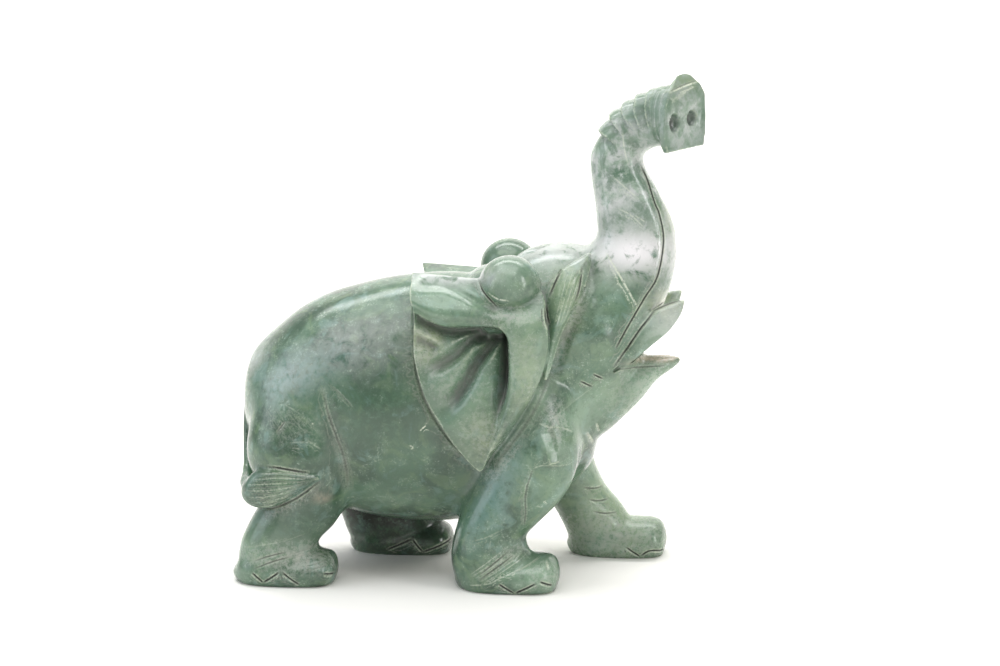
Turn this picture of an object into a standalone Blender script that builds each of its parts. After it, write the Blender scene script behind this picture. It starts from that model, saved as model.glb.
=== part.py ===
"""Hardstone elephant carving, one solid on four flat feet.

Blender 4.5, metres, +Z up. The elephant walks towards +X with its trunk raised. Its right side faces -Y,
and that is its near side below. The origin is on the standing plane, below the middle of the carving.
"""

import math

import bmesh
import bpy
import numpy as np
from mathutils import Matrix

MM = 0.001

# Driving sizes, in millimetres
VOXEL = 1.0
MASS_EASING = 18
DETAIL_EASING = 2
TRIANGLES = 9400
RING = 40
STEPS = 7
SEGMENTS = 48
PIT_SEGMENTS = 20
SHARP_ANGLE = 40.0

# Stations run along each form: centre x, y, z, then half width across (y) and half depth in the side view
TORSO = (
    (-106.5, 0, 77, 0.5, 0.5),
    (-105, 0, 77, 12, 11),
    (-100.5, 0, 77.5, 22, 21),
    (-93, 0, 78, 29.5, 31),
    (-82, 0, 79.5, 35, 40),
    (-63.5, 0, 81, 41, 49),
    (-39.5, 0, 83, 46, 55.5),
    (-13, 0, 84.5, 43.5, 57.5),
    (11, 0, 86.5, 38, 56),
    (35.5, 0, 92, 34, 51),
    (52.5, 0, 96, 27.5, 38),
    (64.5, 0, 97, 13, 18),
    (66.5, 0, 97, 0.5, 0.5),
)
HEAD_AND_TRUNK = (
    (1, 0, 101, 31, 38),
    (11, 0, 102.5, 33, 43),
    (29.5, 0, 106.5, 33, 44),
    (47.5, 0, 115.5, 31, 37),
    (61.5, 0, 129.5, 27, 27.5),
    (72, 0, 145.5, 22, 20.5),
    (75.5, 0, 159.5, 18.5, 17.2),
    (73, 0, 174.5, 16.5, 15.5),
    (68.5, 0, 188.5, 15, 12.8),
    (67.5, -0.5, 198, 14, 11),
    (71.5, -1.5, 207, 13.5, 10.8),
    (79.5, -4, 213, 13.5, 11.2),
    (88.5, -8, 216, 13.5, 12),
    (95.5, -13, 216.5, 13.5, 12.8),
)
JAW = (
    (35.5, 0, 79, 27.5, 20),
    (43.5, 0, 81, 27.5, 22),
    (57.5, 0, 85, 22, 18.5),
    (71.5, 0, 90.5, 17, 12.5),
    (83.5, 0, 96.5, 12, 7.5),
    (93, 0, 100, 7, 4),
    (98.5, 0, 102, 1.5, 1.2),
)
NEAR_FRONT_LEG = (
    (34, -22, 94.5, 14, 17),
    (33.5, -26, 83, 18, 21),
    (31.5, -29, 65, 18.5, 21.5),
    (22.5, -30, 45.5, 17.5, 19),
    (15.5, -31, 30, 16.5, 17),
    (14.5, -31, 18, 16, 18),
    (15.5, -31, 4.5, 15, 18),
)
NEAR_REAR_LEG = (
    (-82, -14, 92, 10, 12),
    (-80, -22, 80, 18, 20),
    (-77.5, -27, 62, 21, 25),
    (-78, -27.5, 44, 18, 20.5),
    (-83, -28, 29, 15.5, 16.5),
    (-85.5, -29, 19.5, 15, 16.5),
    (-85.5, -29, 4, 15, 17),
)
FAR_FRONT_LEG = (
    (32.5, 22, 95, 14, 17),
    (34.5, 25, 79.5, 18, 21),
    (39.5, 28, 59.5, 18.5, 21),
    (45.5, 31, 42, 17, 17.5),
    (51.5, 33.5, 27, 15.5, 15.5),
    (57.5, 35, 16, 14.5, 16),
    (62.5, 35, 4.5, 14, 17),
)
FAR_REAR_LEG = (
    (-82, 14, 93, 10, 12),
    (-78, 22, 81, 18, 20),
    (-69.5, 25.5, 63, 20.5, 25),
    (-59, 27, 44.5, 17, 20),
    (-50, 29, 30, 14.5, 17),
    (-44.5, 29.5, 17.5, 14, 17.5),
    (-42.5, 29.5, 5.5, 14, 18),
)
NEAR_TUSK = (
    (66, -17, 100, 4, 3),
    (73, -18.5, 107.5, 4.5, 4.5),
    (81, -19, 116.5, 5, 6),
    (89, -19.5, 124, 4.5, 6.2),
    (95.5, -20, 129.5, 3, 3.8),
    (99.5, -20, 133.5, 0.5, 0.5),
)
FAR_TUSK = (
    (65.5, 16, 100.5, 4, 3),
    (72.5, 17, 108, 4.5, 4.5),
    (80.5, 17.5, 116, 5, 6),
    (88.5, 18, 123.5, 4.5, 6.2),
    (94, 18, 129, 3, 3.8),
    (98, 18, 132.5, 0.5, 0.5),
)
BROW = (
    (53.5, -20, 155.5, 1.5, 2.5),
    (50, -24, 150, 3.5, 5.5),
    (46, -29, 141.5, 4.2, 6.6),
    (42.5, -32, 131, 4.2, 5),
    (40.2, -34, 120, 3.5, 2.8),
    (38.8, -35, 110, 2.5, 1.6),
    (37, -35, 100, 1, 0.8),
)
TAIL = (
    (-98, -0.5, 104, 3, 2),
    (-103.2, -1, 94, 4.5, 3),
    (-106, -2.5, 82, 5, 3),
    (-106.3, -4.5, 70, 5.5, 2.7),
    (-105.2, -8, 59, 6, 2.6),
    (-103.6, -14, 50.5, 5.5, 3),
    (-101.8, -22, 47, 5, 3.4),
    (-100, -31, 46, 5, 4),
    (-98, -38, 46, 4, 4),
)
TUFT = (
    (-99.6, -37, 46.5, 4, 5),
    (-95.5, -41, 46.2, 6, 8.6),
    (-88, -43.5, 47.6, 6, 9.4),
    (-79.5, -45, 49.8, 5, 6.8),
    (-72, -46, 51.8, 3.8, 3.6),
    (-65, -46.5, 53, 1, 0.8),
)
# Each foot: heel x, toe x, middle y, half width, toe height
FEET = {
    "near front foot": (-5.8, 44.8, -31, 16.5, 16),
    "near rear foot": (-106.8, -59.3, -29.5, 16, 15),
    "far front foot": (45.5, 92.5, 35, 15.5, 18),
    "far rear foot": (-62.5, -11.8, 29.5, 14.5, 15),
}
# Sections of a foot from heel to toe: place along it, height of the middle, half width and half depth,
# as shares of the foot's length, height, half width and height
FOOT_SECTIONS = (
    (0, 0.5, 0.06, 0.06),
    (0.04, 0.45, 0.55, 0.5),
    (0.2, 0.4, 0.92, 0.62),
    (0.5, 0.36, 1, 0.62),
    (0.8, 0.4, 0.97, 0.6),
    (0.94, 0.42, 0.72, 0.48),
    (1, 0.42, 0.06, 0.06),
)
# Ellipsoids: centre, then radii
SWELLS = {
    "forehead": ((42, 0, 128), (33, 33, 29)),
    "near cheek": ((52, -15, 116), (22, 17, 26)),
    "far cheek": ((51, 15, 117), (22, 17, 26)),
    "near haunch": ((-80, -22, 67), (22.5, 24, 32)),
    "far haunch": ((-79.5, 22, 68), (22.5, 24, 32)),
    "nape": ((2, 0, 119), (36, 33, 20)),
    "near shoulder": ((34.5, -28, 64), (18.5, 19.5, 22)),
    "far shoulder": ((36.5, 28, 67), (18.5, 19.5, 22)),
}
DOMES = {
    "near dome": ((21, -33, 141.2), (14, 14, 13.4)),
    "far dome": ((15, 31, 141.6), (14, 14, 13.4)),
}
# Stepped folds across the back of the trunk: centres, and the radii they share
TRUNK_FOLDS = (
    (60.6, -1, 207.4),
    (66.2, -1.5, 212.6),
    (71.8, -2.5, 217),
    (77.4, -4, 219.8),
    (84.2, -6.5, 222.9),
)
TRUNK_FOLD_RADII = (4.6, 10, 4.6)
# Ear outline from its top down to its tip: x and z of the rear edge, then of the front edge
EAR_EDGES = (
    (-23.5, 146.5, 30.5, 142.5),
    (-22.5, 138, 36.5, 137.5),
    (-21, 130, 38.5, 130.5),
    (-21, 120, 39.5, 120.5),
    (-21, 110.5, 39, 111),
    (-18.5, 99.5, 36, 100.5),
    (-15.5, 90.5, 32, 91.5),
    (-10.5, 81.5, 26.5, 82.5),
    (-4.5, 72, 20.5, 73.5),
    (1.5, 64.5, 14.5, 65.5),
    (7, 59, 11, 59.5),
    (9, 57.5, 9.5, 58),
)
EAR_COLUMNS = 64
# The ear narrows towards its root, which lies inside the body: this much, about this middle, at this y
EAR_UNDERCUT = 0.9
EAR_MIDDLE = (9.0, 0.0, 108.0)
EAR_ROOT = 20.0
FAR_EAR_SHIFT = (-4.5, -4.0)
# How far the ear's shell stands from the middle plane, and its rise over this way out from the fan's centre
SHELL = 42.5
SHELL_RISE = 5.5
SHELL_REACH = 52.0
# Flutes fan out from below the fold: their angle back from straight down, depth, and spread in degrees
FAN_CENTRE = (17.8, 124.7)
FLUTES = ((0.0, 5.5, 5.0), (36.5, 4.4, 4.6), (58.5, 3.8, 4.2), (81.0, 3.0, 4.2))
FLUTE_STARTS = (2.0, 12.0)
FLUTE_ENDS = (34.0, 52.0)
# The rim along the ear's front: its height, where it starts across the ear at these two heights, the falls
# of its front and its inner edge with the share of its width that each takes, and its fall towards the tip
RIM = 51.0
RIM_STARTS = ((0.70, 120.0), (0.77, 86.0))
RIM_FRONT = (6.0, 0.65)
RIM_INNER = (2.5, 0.3)
RIM_TIP = (3.0, 76.0, 58.0)
# The fold along the ear's top. Its lip lies at this height and lifts to the rear, by so much over such a way
LIP = (123.8, 6.4, -3.0, 17.0)
FOLD_TOP = 147.0
LIP_ROUND = (3.0, 0.22)
FOLD_SLOPE = (19.0, 0.25, 1.5)
FOLD_CREASE = (141.6, 11.5, 1.3, 1.9)
FOLD_CREASE_ENDS = ((-22.0, -14.0), (14.0, 20.0))
# Where the fold turns down into the rim
CORNER_X = (8.0, 20.0)
CORNER_Z = (112.0, 136.0)
CORNER_FALL = 8.0
# End plate of the trunk: its middle, its turn towards the near side, its thickness, and its outline
PLATE_MIDDLE = (96.5, -11.5)
PLATE_TURN = 37.0
PLATE_THICKNESS = 3.0
PLATE_SLANT = 0.065
PLATE_OUTLINE = (
    (-12.5, 200.9),
    (-14.4, 203.7),
    (-15.6, 210),
    (-15.2, 220.5),
    (-11.8, 228.6),
    (-7.5, 231.9),
    (-3.2, 234.8),
    (1.9, 235.6),
    (6.2, 234.7),
    (11.3, 229.5),
    (14.7, 224.7),
    (15.2, 215.6),
    (15.2, 206.5),
    (13.9, 201.5),
)
NOSTRILS = ((-7.9, 213.9), (4.7, 214.8))
NOSTRIL_RADIUS = 3.8
MOUTH = ((64, 98), (80, 111.5), (104, 113.5), (104, 101.9), (98.3, 102.1), (81.2, 104.8))
MOUTH_HALF = 26.0
GROUND_DEPTH = 20.0
GROUND_HALF = 200.0
STONE_COLOUR = (0.18, 0.25, 0.2, 1)
STONE_ROUGHNESS = 0.25


def spline(stations: tuple, steps: int) -> np.ndarray:
    """A Catmull-Rom curve through the stations, with this many rows from each station to the next."""
    rows = np.array(stations, float)
    rows = np.vstack([2 * rows[0] - rows[1], rows, 2 * rows[-1] - rows[-2]])
    before, start, end, after = rows[:-3], rows[1:-2], rows[2:-1], rows[3:]
    t = np.linspace(0, 1, steps, endpoint=False)[:, None, None]
    curve = 0.5 * (
        2 * start
        + (end - before) * t
        + (2 * before - 5 * start + 4 * end - after) * t**2
        + (3 * start - before - 3 * end + after) * t**3
    )
    curve = curve.transpose(1, 0, 2).reshape(-1, rows.shape[1])
    return np.vstack([curve, rows[-2]])


def unit(vectors: np.ndarray) -> np.ndarray:
    return vectors / np.linalg.norm(vectors, axis=-1, keepdims=True)


def eased(value: np.ndarray, start: float, end: float) -> np.ndarray:
    """0 before start, 1 after end, and a smooth step between them."""
    t = np.clip((value - start) / (end - start), 0, 1)
    return t * t * (3 - 2 * t)


def mesh_object(name: str, points: np.ndarray, faces: list) -> bpy.types.Object:
    """An object of these points, in millimetres, with its faces turned outwards."""
    mesh = bpy.data.meshes.new(name)
    mesh.from_pydata((points * MM).tolist(), [], faces)
    work = bmesh.new()
    work.from_mesh(mesh)
    bmesh.ops.recalc_face_normals(work, faces=work.faces)
    work.to_mesh(mesh)
    work.free()
    made = bpy.data.objects.new(name, mesh)
    bpy.context.scene.collection.objects.link(made)
    return made


def grid_faces(rows: int, columns: int, closed: bool, first: int = 0) -> list:
    """Quads over a grid of points that is read row by row, joined round the columns if it's closed."""
    last = columns if closed else columns - 1
    quads = []
    for row in range(rows - 1):
        here = first + row * columns
        for column in range(last):
            beside = (column + 1) % columns
            quads.append((here + column, here + beside, here + columns + beside, here + columns + column))
    return quads


def loft(name: str, stations: tuple, square: float = 2.0) -> bpy.types.Object:
    """A closed form whose sections stand square to the curve through the stations; above 2 they're boxier."""
    rows = spline(stations, STEPS)
    centre, across_half, depth_half = rows[:, :3], rows[:, 3:4], rows[:, 4:5]
    along = unit(np.gradient(centre, axis=0))
    across = unit(np.array([0, 1, 0]) - along * along[:, 1:2])
    outward = np.cross(along, across)
    angle = np.linspace(0, 2 * math.pi, RING, endpoint=False)[None, :, None]
    side, top = (np.sign(v) * np.abs(v) ** (2 / square) for v in (np.cos(angle), np.sin(angle)))
    points = centre[:, None] + (across * across_half)[:, None] * side + (outward * depth_half)[:, None] * top
    points = points.reshape(-1, 3)
    faces = grid_faces(len(rows), RING, True)
    faces += [tuple(range(RING)), tuple(range(len(points) - RING, len(points)))]
    return mesh_object(name, points, faces)


def ellipsoid(name: str, centre: tuple, radii: tuple, segments: int = SEGMENTS) -> bpy.types.Object:
    bpy.ops.mesh.primitive_uv_sphere_add(segments=segments, ring_count=segments // 2, radius=MM)
    made = bpy.context.object
    made.name = name
    made.data.transform(Matrix.Translation([c * MM for c in centre]) @ Matrix.Diagonal((*radii, 1)))
    return made


def prism(name: str, outline: list, rise: np.ndarray) -> bpy.types.Object:
    """A closed form between an outline and the same outline moved by the rise."""
    lower = np.array(outline, float)
    count = len(lower)
    faces = grid_faces(2, count, True) + [tuple(range(count)), tuple(range(count, 2 * count))]
    return mesh_object(name, np.vstack([lower, lower + rise]), faces)


def foot(name: str, heel: float, toe: float, middle: float, half: float, height: float) -> bpy.types.Object:
    """A foot, lofted from its heel to its rounded toes."""
    length = toe - heel
    stations = [(heel + a * length, middle, b * height, c * half, d * height) for a, b, c, d in FOOT_SECTIONS]
    return loft(name, tuple(stations))


def rim_start(z: np.ndarray) -> np.ndarray:
    """Where the rim starts, as a share of the ear's width from its rear edge."""
    (upper, high), (lower, low) = RIM_STARTS
    return upper + (lower - upper) * eased(-z, -high, -low)


def shell_relief(x: np.ndarray, z: np.ndarray) -> np.ndarray:
    """The thin part of the ear, with flutes that fan out from under the fold."""
    back, down = FAN_CENTRE[0] - x, FAN_CENTRE[1] - z
    reach = np.hypot(back, down)
    angle = np.degrees(np.arctan2(back, down))
    shell = SHELL + SHELL_RISE * eased(reach, 0, SHELL_REACH)
    ends = eased(reach, *FLUTE_STARTS) * (1 - eased(reach, *FLUTE_ENDS))
    for middle, depth, spread in FLUTES:
        shell -= depth * np.exp(-(((angle - middle) / spread) ** 2)) * ends
    return shell


def rim_relief(z: np.ndarray, u: np.ndarray) -> np.ndarray:
    """The thick rim, rounded at its inner edge and bevelled off to the front."""
    start = rim_start(z)
    t = (u - start) / (1 - start)
    front = np.clip((t - 1 + RIM_FRONT[1]) / RIM_FRONT[1], 0, 1)
    inner = np.clip((RIM_INNER[1] - t) / RIM_INNER[1], 0, 1)
    fall, high, low = RIM_TIP
    return RIM - RIM_FRONT[0] * front**2 - RIM_INNER[0] * inner**2 - fall * eased(-z, -high, -low)


def lip_height(x: np.ndarray) -> np.ndarray:
    height, lift, start, length = LIP
    return height + lift * np.clip((start - x) / length, 0, 1.2) ** 2


def fold_relief(x: np.ndarray, z: np.ndarray) -> np.ndarray:
    """The fold over the ear's top, from its rounded lip up its long slope, with one crease along it."""
    lip = lip_height(x)
    lift = np.clip((z - lip) / (FOLD_TOP - lip), 0, 1)
    fold = RIM - LIP_ROUND[0] * (1 - eased(lift, 0, LIP_ROUND[1])) * (1 - eased(x, *CORNER_X))
    fall, start, power = FOLD_SLOPE
    fold -= fall * np.clip((lift - start) / (1 - start), 0, 1) ** power
    height, drop, depth, spread = FOLD_CREASE
    (rear, rear_full), (front_full, front) = FOLD_CREASE_ENDS
    crease = height - drop * eased(x, rear_full + 2, front + 1)
    ends = eased(x, rear, rear_full) * (1 - eased(x, front_full, front))
    fold -= depth * np.exp(-(((z - crease) / spread) ** 2)) * ends
    return fold - CORNER_FALL * eased(x, 0, CORNER_X[1]) * eased(z, 120, CORNER_Z[1])


def ear_relief(x: np.ndarray, z: np.ndarray, u: np.ndarray) -> np.ndarray:
    """How far the near ear stands out: a fluted shell between a thick fold and a thick rim."""
    above = z - lip_height(x)
    front = eased(x, *CORNER_X)
    rim, fold = rim_relief(z, u), fold_relief(x, z)
    solid = rim + (fold - rim) * (eased(above, -0.5, 0.8) * (1 - front) + eased(z, *CORNER_Z) * front)
    weight = np.maximum(eased(above, -1.2, 0.8), eased(u - rim_start(z), -0.03, 0.02))
    shell = shell_relief(x, z)
    return shell + (solid - shell) * weight


def ear(name: str, side: int) -> bpy.types.Object:
    """An ear as a sheet of relief with an undercut root inside the body; side is -1 near and 1 far."""
    rows = spline(EAR_EDGES, STEPS)
    u = np.linspace(0, 1, EAR_COLUMNS)[None, :]
    x = rows[:, 0:1] + (rows[:, 2:3] - rows[:, 0:1]) * u
    z = rows[:, 1:2] + (rows[:, 3:4] - rows[:, 1:2]) * u
    out = ear_relief(x, z, u + 0 * x)
    face = np.stack([x, side * out, z], -1)
    middle = np.array(EAR_MIDDLE)
    root = middle + (face - middle) * EAR_UNDERCUT
    root[..., 1] = side * EAR_ROOT
    points = np.concatenate([face, root]).reshape(-1, 3)
    if side > 0:
        points += np.array([FAR_EAR_SHIFT[0], 0, FAR_EAR_SHIFT[1]])
    count, columns = len(rows), EAR_COLUMNS
    faces = grid_faces(count, columns, False) + grid_faces(count, columns, False, count * columns)
    edge = list(range(columns)) + [r * columns + columns - 1 for r in range(1, count)]
    edge += [(count - 1) * columns + c for c in range(columns - 2, -1, -1)]
    edge += [r * columns for r in range(count - 2, 0, -1)]
    other = count * columns
    faces += [(a, b, b + other, a + other) for a, b in zip(edge, edge[1:] + edge[:1])]
    return mesh_object(name, points, faces)


def plate_point(w: float, z: float, forward: float) -> tuple:
    """A point of the trunk's end plate, w along its width and so far in front of its back face."""
    turn = math.radians(PLATE_TURN)
    return (
        PLATE_MIDDLE[0] + w * math.sin(turn) + forward * math.cos(turn),
        PLATE_MIDDLE[1] + w * math.cos(turn) - forward * math.sin(turn),
        z + PLATE_SLANT * w,
    )


def evaluated(source: bpy.types.Object) -> bpy.types.Object:
    """The object with its modifiers made real, in place of the one that carried them."""
    graph = bpy.context.evaluated_depsgraph_get()
    mesh = bpy.data.meshes.new_from_object(source.evaluated_get(graph))
    name = source.name
    bpy.data.objects.remove(source)
    made = bpy.data.objects.new(name, mesh)
    bpy.context.scene.collection.objects.link(made)
    return made


def cut(source: bpy.types.Object, cutters: list) -> bpy.types.Object:
    """The source with the volume of each cutter taken away."""
    for cutter in cutters:
        step = source.modifiers.new(cutter.name, "BOOLEAN")
        step.operation = "DIFFERENCE"
        step.solver = "EXACT"
        step.object = cutter
    made = evaluated(source)
    for cutter in cutters:
        bpy.data.objects.remove(cutter)
    return made


def centre_on_origin(carving: bpy.types.Object) -> None:
    """Puts the middle of the carving's length and width over the origin."""
    points = np.array([v.co for v in carving.data.vertices])
    middle = (points.min(axis=0) + points.max(axis=0)) / 2
    carving.data.transform(Matrix.Translation((-middle[0], -middle[1], 0)))


def finish(carving: bpy.types.Object) -> None:
    """Gives the carving its stone and puts it in the collection that is named for it."""
    stone = bpy.data.materials.new("stone")
    stone.use_nodes = True
    surface = stone.node_tree.nodes["Principled BSDF"]
    surface.inputs["Base Color"].default_value = STONE_COLOUR
    surface.inputs["Roughness"].default_value = STONE_ROUGHNESS
    carving.data.shade_smooth()
    carving.data.set_sharp_from_angle(angle=math.radians(SHARP_ANGLE))
    carving.data.materials.clear()
    carving.data.materials.append(stone)
    home = bpy.data.collections.new("hardstone elephant")
    bpy.context.scene.collection.children.link(home)
    home.objects.link(carving)
    bpy.context.scene.collection.objects.unlink(carving)


def fuse(name: str, forms: list, easing: int) -> bpy.types.Object:
    """One skin round all the forms, eased by so many passes where they meet."""
    work = bmesh.new()
    for form in forms:
        work.from_mesh(form.data)
        bpy.data.objects.remove(form)
    mesh = bpy.data.meshes.new(name)
    work.to_mesh(mesh)
    work.free()
    whole = bpy.data.objects.new(name, mesh)
    bpy.context.scene.collection.objects.link(whole)
    skin = whole.modifiers.new("skin", "REMESH")
    skin.mode = "VOXEL"
    skin.voxel_size = VOXEL * MM
    ease = whole.modifiers.new("ease", "SMOOTH")
    ease.factor = 0.5
    ease.iterations = easing
    return evaluated(whole)


def main() -> None:
    for old in list(bpy.data.objects):
        bpy.data.objects.remove(old)
    mass = [
        loft("torso", TORSO),
        loft("head and trunk", HEAD_AND_TRUNK, 2.5),
        loft("jaw", JAW),
        loft("near front leg", NEAR_FRONT_LEG),
        loft("near rear leg", NEAR_REAR_LEG),
        loft("far front leg", FAR_FRONT_LEG),
        loft("far rear leg", FAR_REAR_LEG),
    ]
    mass += [ellipsoid(name, *sizes) for name, sizes in SWELLS.items()]
    mass += [foot(name, *sizes) for name, sizes in FEET.items()]
    body = fuse("mass", mass, MASS_EASING)
    width = np.array([0, 2 * MOUTH_HALF, 0])
    body = cut(body, [prism("mouth", [(x, -MOUTH_HALF, z) for x, z in MOUTH], width)])
    plate = [plate_point(w, z, 0) for w, z in PLATE_OUTLINE]
    forward = np.array(plate_point(0, 0, PLATE_THICKNESS)) - np.array(plate_point(0, 0, 0))
    details = [ellipsoid(name, *sizes) for name, sizes in DOMES.items()]
    details += [ellipsoid("trunk fold", centre, TRUNK_FOLD_RADII) for centre in TRUNK_FOLDS]
    details += [
        ear("near ear", -1),
        ear("far ear", 1),
        loft("near tusk", NEAR_TUSK),
        loft("far tusk", FAR_TUSK),
        loft("near brow", BROW),
        loft("far brow", tuple((x, -y, z, a, b) for x, y, z, a, b in BROW)),
        loft("tail", TAIL),
        loft("tuft", TUFT),
        prism("trunk end", plate, forward),
    ]
    carving = fuse("elephant", [body, *details], DETAIL_EASING)
    thin = carving.modifiers.new("thin", "DECIMATE")
    thin.ratio = TRIANGLES / sum(len(p.vertices) - 2 for p in carving.data.polygons)
    carving = evaluated(carving)
    corners = ((-1, -1), (1, -1), (1, 1), (-1, 1))
    floor = [(x * GROUND_HALF, y * GROUND_HALF, -GROUND_DEPTH) for x, y in corners]
    pits = [
        ellipsoid(name, plate_point(w, z, PLATE_THICKNESS), (NOSTRIL_RADIUS,) * 3, PIT_SEGMENTS)
        for name, (w, z) in zip(("near nostril", "far nostril"), NOSTRILS)
    ]
    carving = cut(carving, [prism("ground", floor, np.array([0, 0, GROUND_DEPTH])), *pits])
    centre_on_origin(carving)
    finish(carving)


main()
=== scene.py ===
"""Hardstone elephant carving: one polished green stone with its tool marks, on a pale studio floor.

The carving's sizes are in millimetres in the carver's own frame: the elephant walks towards +X, its right
side is the near side and faces -Y, and the soles stand on z = 0. The stone is made as a carver works: masses
are fused and eased, details are fused on, and then facets, grooves and chips are cut into the skin.
"""

from __future__ import annotations

import logging
import math
from dataclasses import dataclass, replace
from enum import Enum

import bmesh
import bpy
import numpy as np
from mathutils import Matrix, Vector

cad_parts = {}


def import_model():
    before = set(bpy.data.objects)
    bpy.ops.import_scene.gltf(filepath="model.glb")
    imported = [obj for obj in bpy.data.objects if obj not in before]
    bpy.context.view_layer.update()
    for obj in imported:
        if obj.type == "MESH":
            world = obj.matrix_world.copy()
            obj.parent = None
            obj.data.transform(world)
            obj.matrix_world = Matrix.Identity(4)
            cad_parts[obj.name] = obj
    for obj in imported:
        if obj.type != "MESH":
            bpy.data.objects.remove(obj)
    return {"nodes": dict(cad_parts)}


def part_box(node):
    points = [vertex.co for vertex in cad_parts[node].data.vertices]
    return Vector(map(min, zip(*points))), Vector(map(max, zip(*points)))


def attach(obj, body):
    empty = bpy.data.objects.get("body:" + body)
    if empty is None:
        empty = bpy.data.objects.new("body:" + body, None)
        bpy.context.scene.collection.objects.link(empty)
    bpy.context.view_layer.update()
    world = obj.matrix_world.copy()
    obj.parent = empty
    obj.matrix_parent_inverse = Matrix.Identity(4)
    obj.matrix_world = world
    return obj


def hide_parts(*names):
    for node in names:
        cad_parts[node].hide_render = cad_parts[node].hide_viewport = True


LOG = logging.getLogger("elephant")
NODE = "elephant"
MM = 0.001
# The skin's spacing in millimetres and its passes of smoothing, at each of the three steps of fusing.
BARREL_VOXEL = 2.0
BARREL_EASING = 24
MASS_VOXEL = 1.0
MASS_EASING = 18
SKIN_VOXEL = 0.55
SKIN_EASING = 4
TRIANGLES = 192000
# Points round a section, and rows from one station to the next.
RING = 72
STEPS = 10
# How many sets the cut lines are dealt out to, and how far from a line its colour reaches, in millimetres.
LINE_SETS = 4
LINE_REACH = 3.0
# How squarely the skin must face a groove's side of the carving for it to start, and to be full.
FACING = (0.05, 0.35)

Stations = tuple[tuple[float, float, float, float, float], ...]
Route = tuple[tuple[float, float], ...]
Point = tuple[float, float, float]


class Face(Enum):
    """A side of the carving, as the axis it is seen along and the sign of its normals on that axis."""

    NEAR = (1, -1)
    FAR = (1, 1)


class Profile(Enum):
    """How a cut falls away from its line: straight, eased, or as a step that lowers the line's left side."""

    SHARP = "sharp"
    SOFT = "soft"
    STEP = "step"


class Wear(Enum):
    """What shows on the stone besides its own colours: dust, bruises, and painted shade in deep cuts and
    hollows; and the name of the mesh attribute that holds it.
    """

    DUST = "dust"
    # Painted shade: the dark deep in the flutes, in the nostrils and along the cut lines.
    PAINTED_SHADE = "painted_shade"
    BRUISE = "bruise"
    NONE = "none"


class Tone(Enum):
    """A drift of colour, and the name of the mesh attribute that holds it. Most are the stone's own tones,
    but the dark drifts are painted shade and shadow, and the light, white and blue ones are in places painted
    highlights and sheen.
    """

    PALE = "pale"
    # Paler stone, and in places a painted highlight, as on the knee's flat and the ear's fold and rim.
    LIGHT = "light"
    WARM = "warm"
    # Bluish stone, and a painted sheen on the haunch and the near front leg.
    BLUE = "blue"
    GREEN = "green"
    # Whitish stone on the trunk and plate, and painted highlights and sheen on the forehead, the ear's fold,
    # the rump and the flank.
    WHITE = "white"
    PINK = "pink"
    CHALK = "chalk"
    # Painted shade and shadow: under the ear's fold, on the far legs under the belly, and in the gap behind
    # the tail.
    DARK = "dark"
    DEEP = "deep"


def spline(stations: tuple | np.ndarray, steps: int) -> np.ndarray:
    """Draws a Catmull-Rom curve through rows of numbers.

    Each stretch is the cubic that passes its two ends with slopes of half the chord from the row before to
    the row after.

    Args:
        stations: The rows, each a point or a point with sizes.
        steps: How many rows of the curve run from each station to the next.

    Returns:
        The rows of the curve.
    """
    rows = np.array(stations, float)
    rows = np.vstack([2 * rows[0] - rows[1], rows, 2 * rows[-1] - rows[-2]])
    before, start, end, after = rows[:-3], rows[1:-2], rows[2:-1], rows[3:]
    t = np.linspace(0, 1, steps, endpoint=False)[:, None, None]
    curve = 0.5 * (
        2 * start
        + (end - before) * t
        + (2 * before - 5 * start + 4 * end - after) * t**2
        + (3 * start - before - 3 * end + after) * t**3
    )
    curve = curve.transpose(1, 0, 2).reshape(-1, rows.shape[1])
    return np.vstack([curve, rows[-2]])


def unit(vectors: np.ndarray) -> np.ndarray:
    """The vectors at length 1."""
    return vectors / np.maximum(np.linalg.norm(vectors, axis=-1, keepdims=True), 1e-9)


def eased(value: np.ndarray, start: float, end: float) -> np.ndarray:
    """0 before start, 1 after end, and 3t^2 - 2t^3 between them."""
    t = np.clip((value - start) / (end - start), 0, 1)
    return t * t * (3 - 2 * t)


def lattice_noise(points: np.ndarray, size: float, seed: int) -> np.ndarray:
    """Gives smooth noise in space.

    Random values between -1 and 1 sit on a cubic lattice, and each point takes the mean of its cell's eight
    corners, weighted by eased distances.

    Args:
        points: Points in millimetres.
        size: The lattice spacing in millimetres.
        seed: Picks the random values.

    Returns:
        One value for each point.
    """
    table = np.random.default_rng(seed).uniform(-1, 1, (32, 32, 32))
    place = points / size
    cell = np.floor(place).astype(int)
    share = place - cell
    share = share * share * (3 - 2 * share)
    total = np.zeros(len(points))
    for corner in np.ndindex(2, 2, 2):
        weight = np.prod(np.where(np.array(corner) == 1, share, 1 - share), axis=1)
        i, j, k = ((cell + corner) % 32).T
        total += weight * table[i, j, k]
    return total


def route_distance(points: np.ndarray, route: np.ndarray) -> tuple[np.ndarray, np.ndarray, np.ndarray]:
    """Measures points against a line of straight stretches.

    Args:
        points: The points, in as many dimensions as the route.
        route: The line's corners.

    Returns:
        Each point's distance to the line, the share of the line's length at which it is nearest, and the
        number of the stretch that it is nearest to.
    """
    step = np.diff(route, axis=0)
    lengths = np.linalg.norm(step, axis=1)
    away = points[:, None] - route[:-1]
    share = np.clip((away * step).sum(-1) / lengths**2, 0, 1)
    distance = np.linalg.norm(away - share[..., None] * step, axis=-1)
    nearest = distance.argmin(axis=1)
    rows = np.arange(len(points))
    start = np.concatenate([[0], np.cumsum(lengths)[:-1]])
    along = (start[nearest] + share[rows, nearest] * lengths[nearest]) / lengths.sum()
    return distance[rows, nearest], along, nearest


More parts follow.
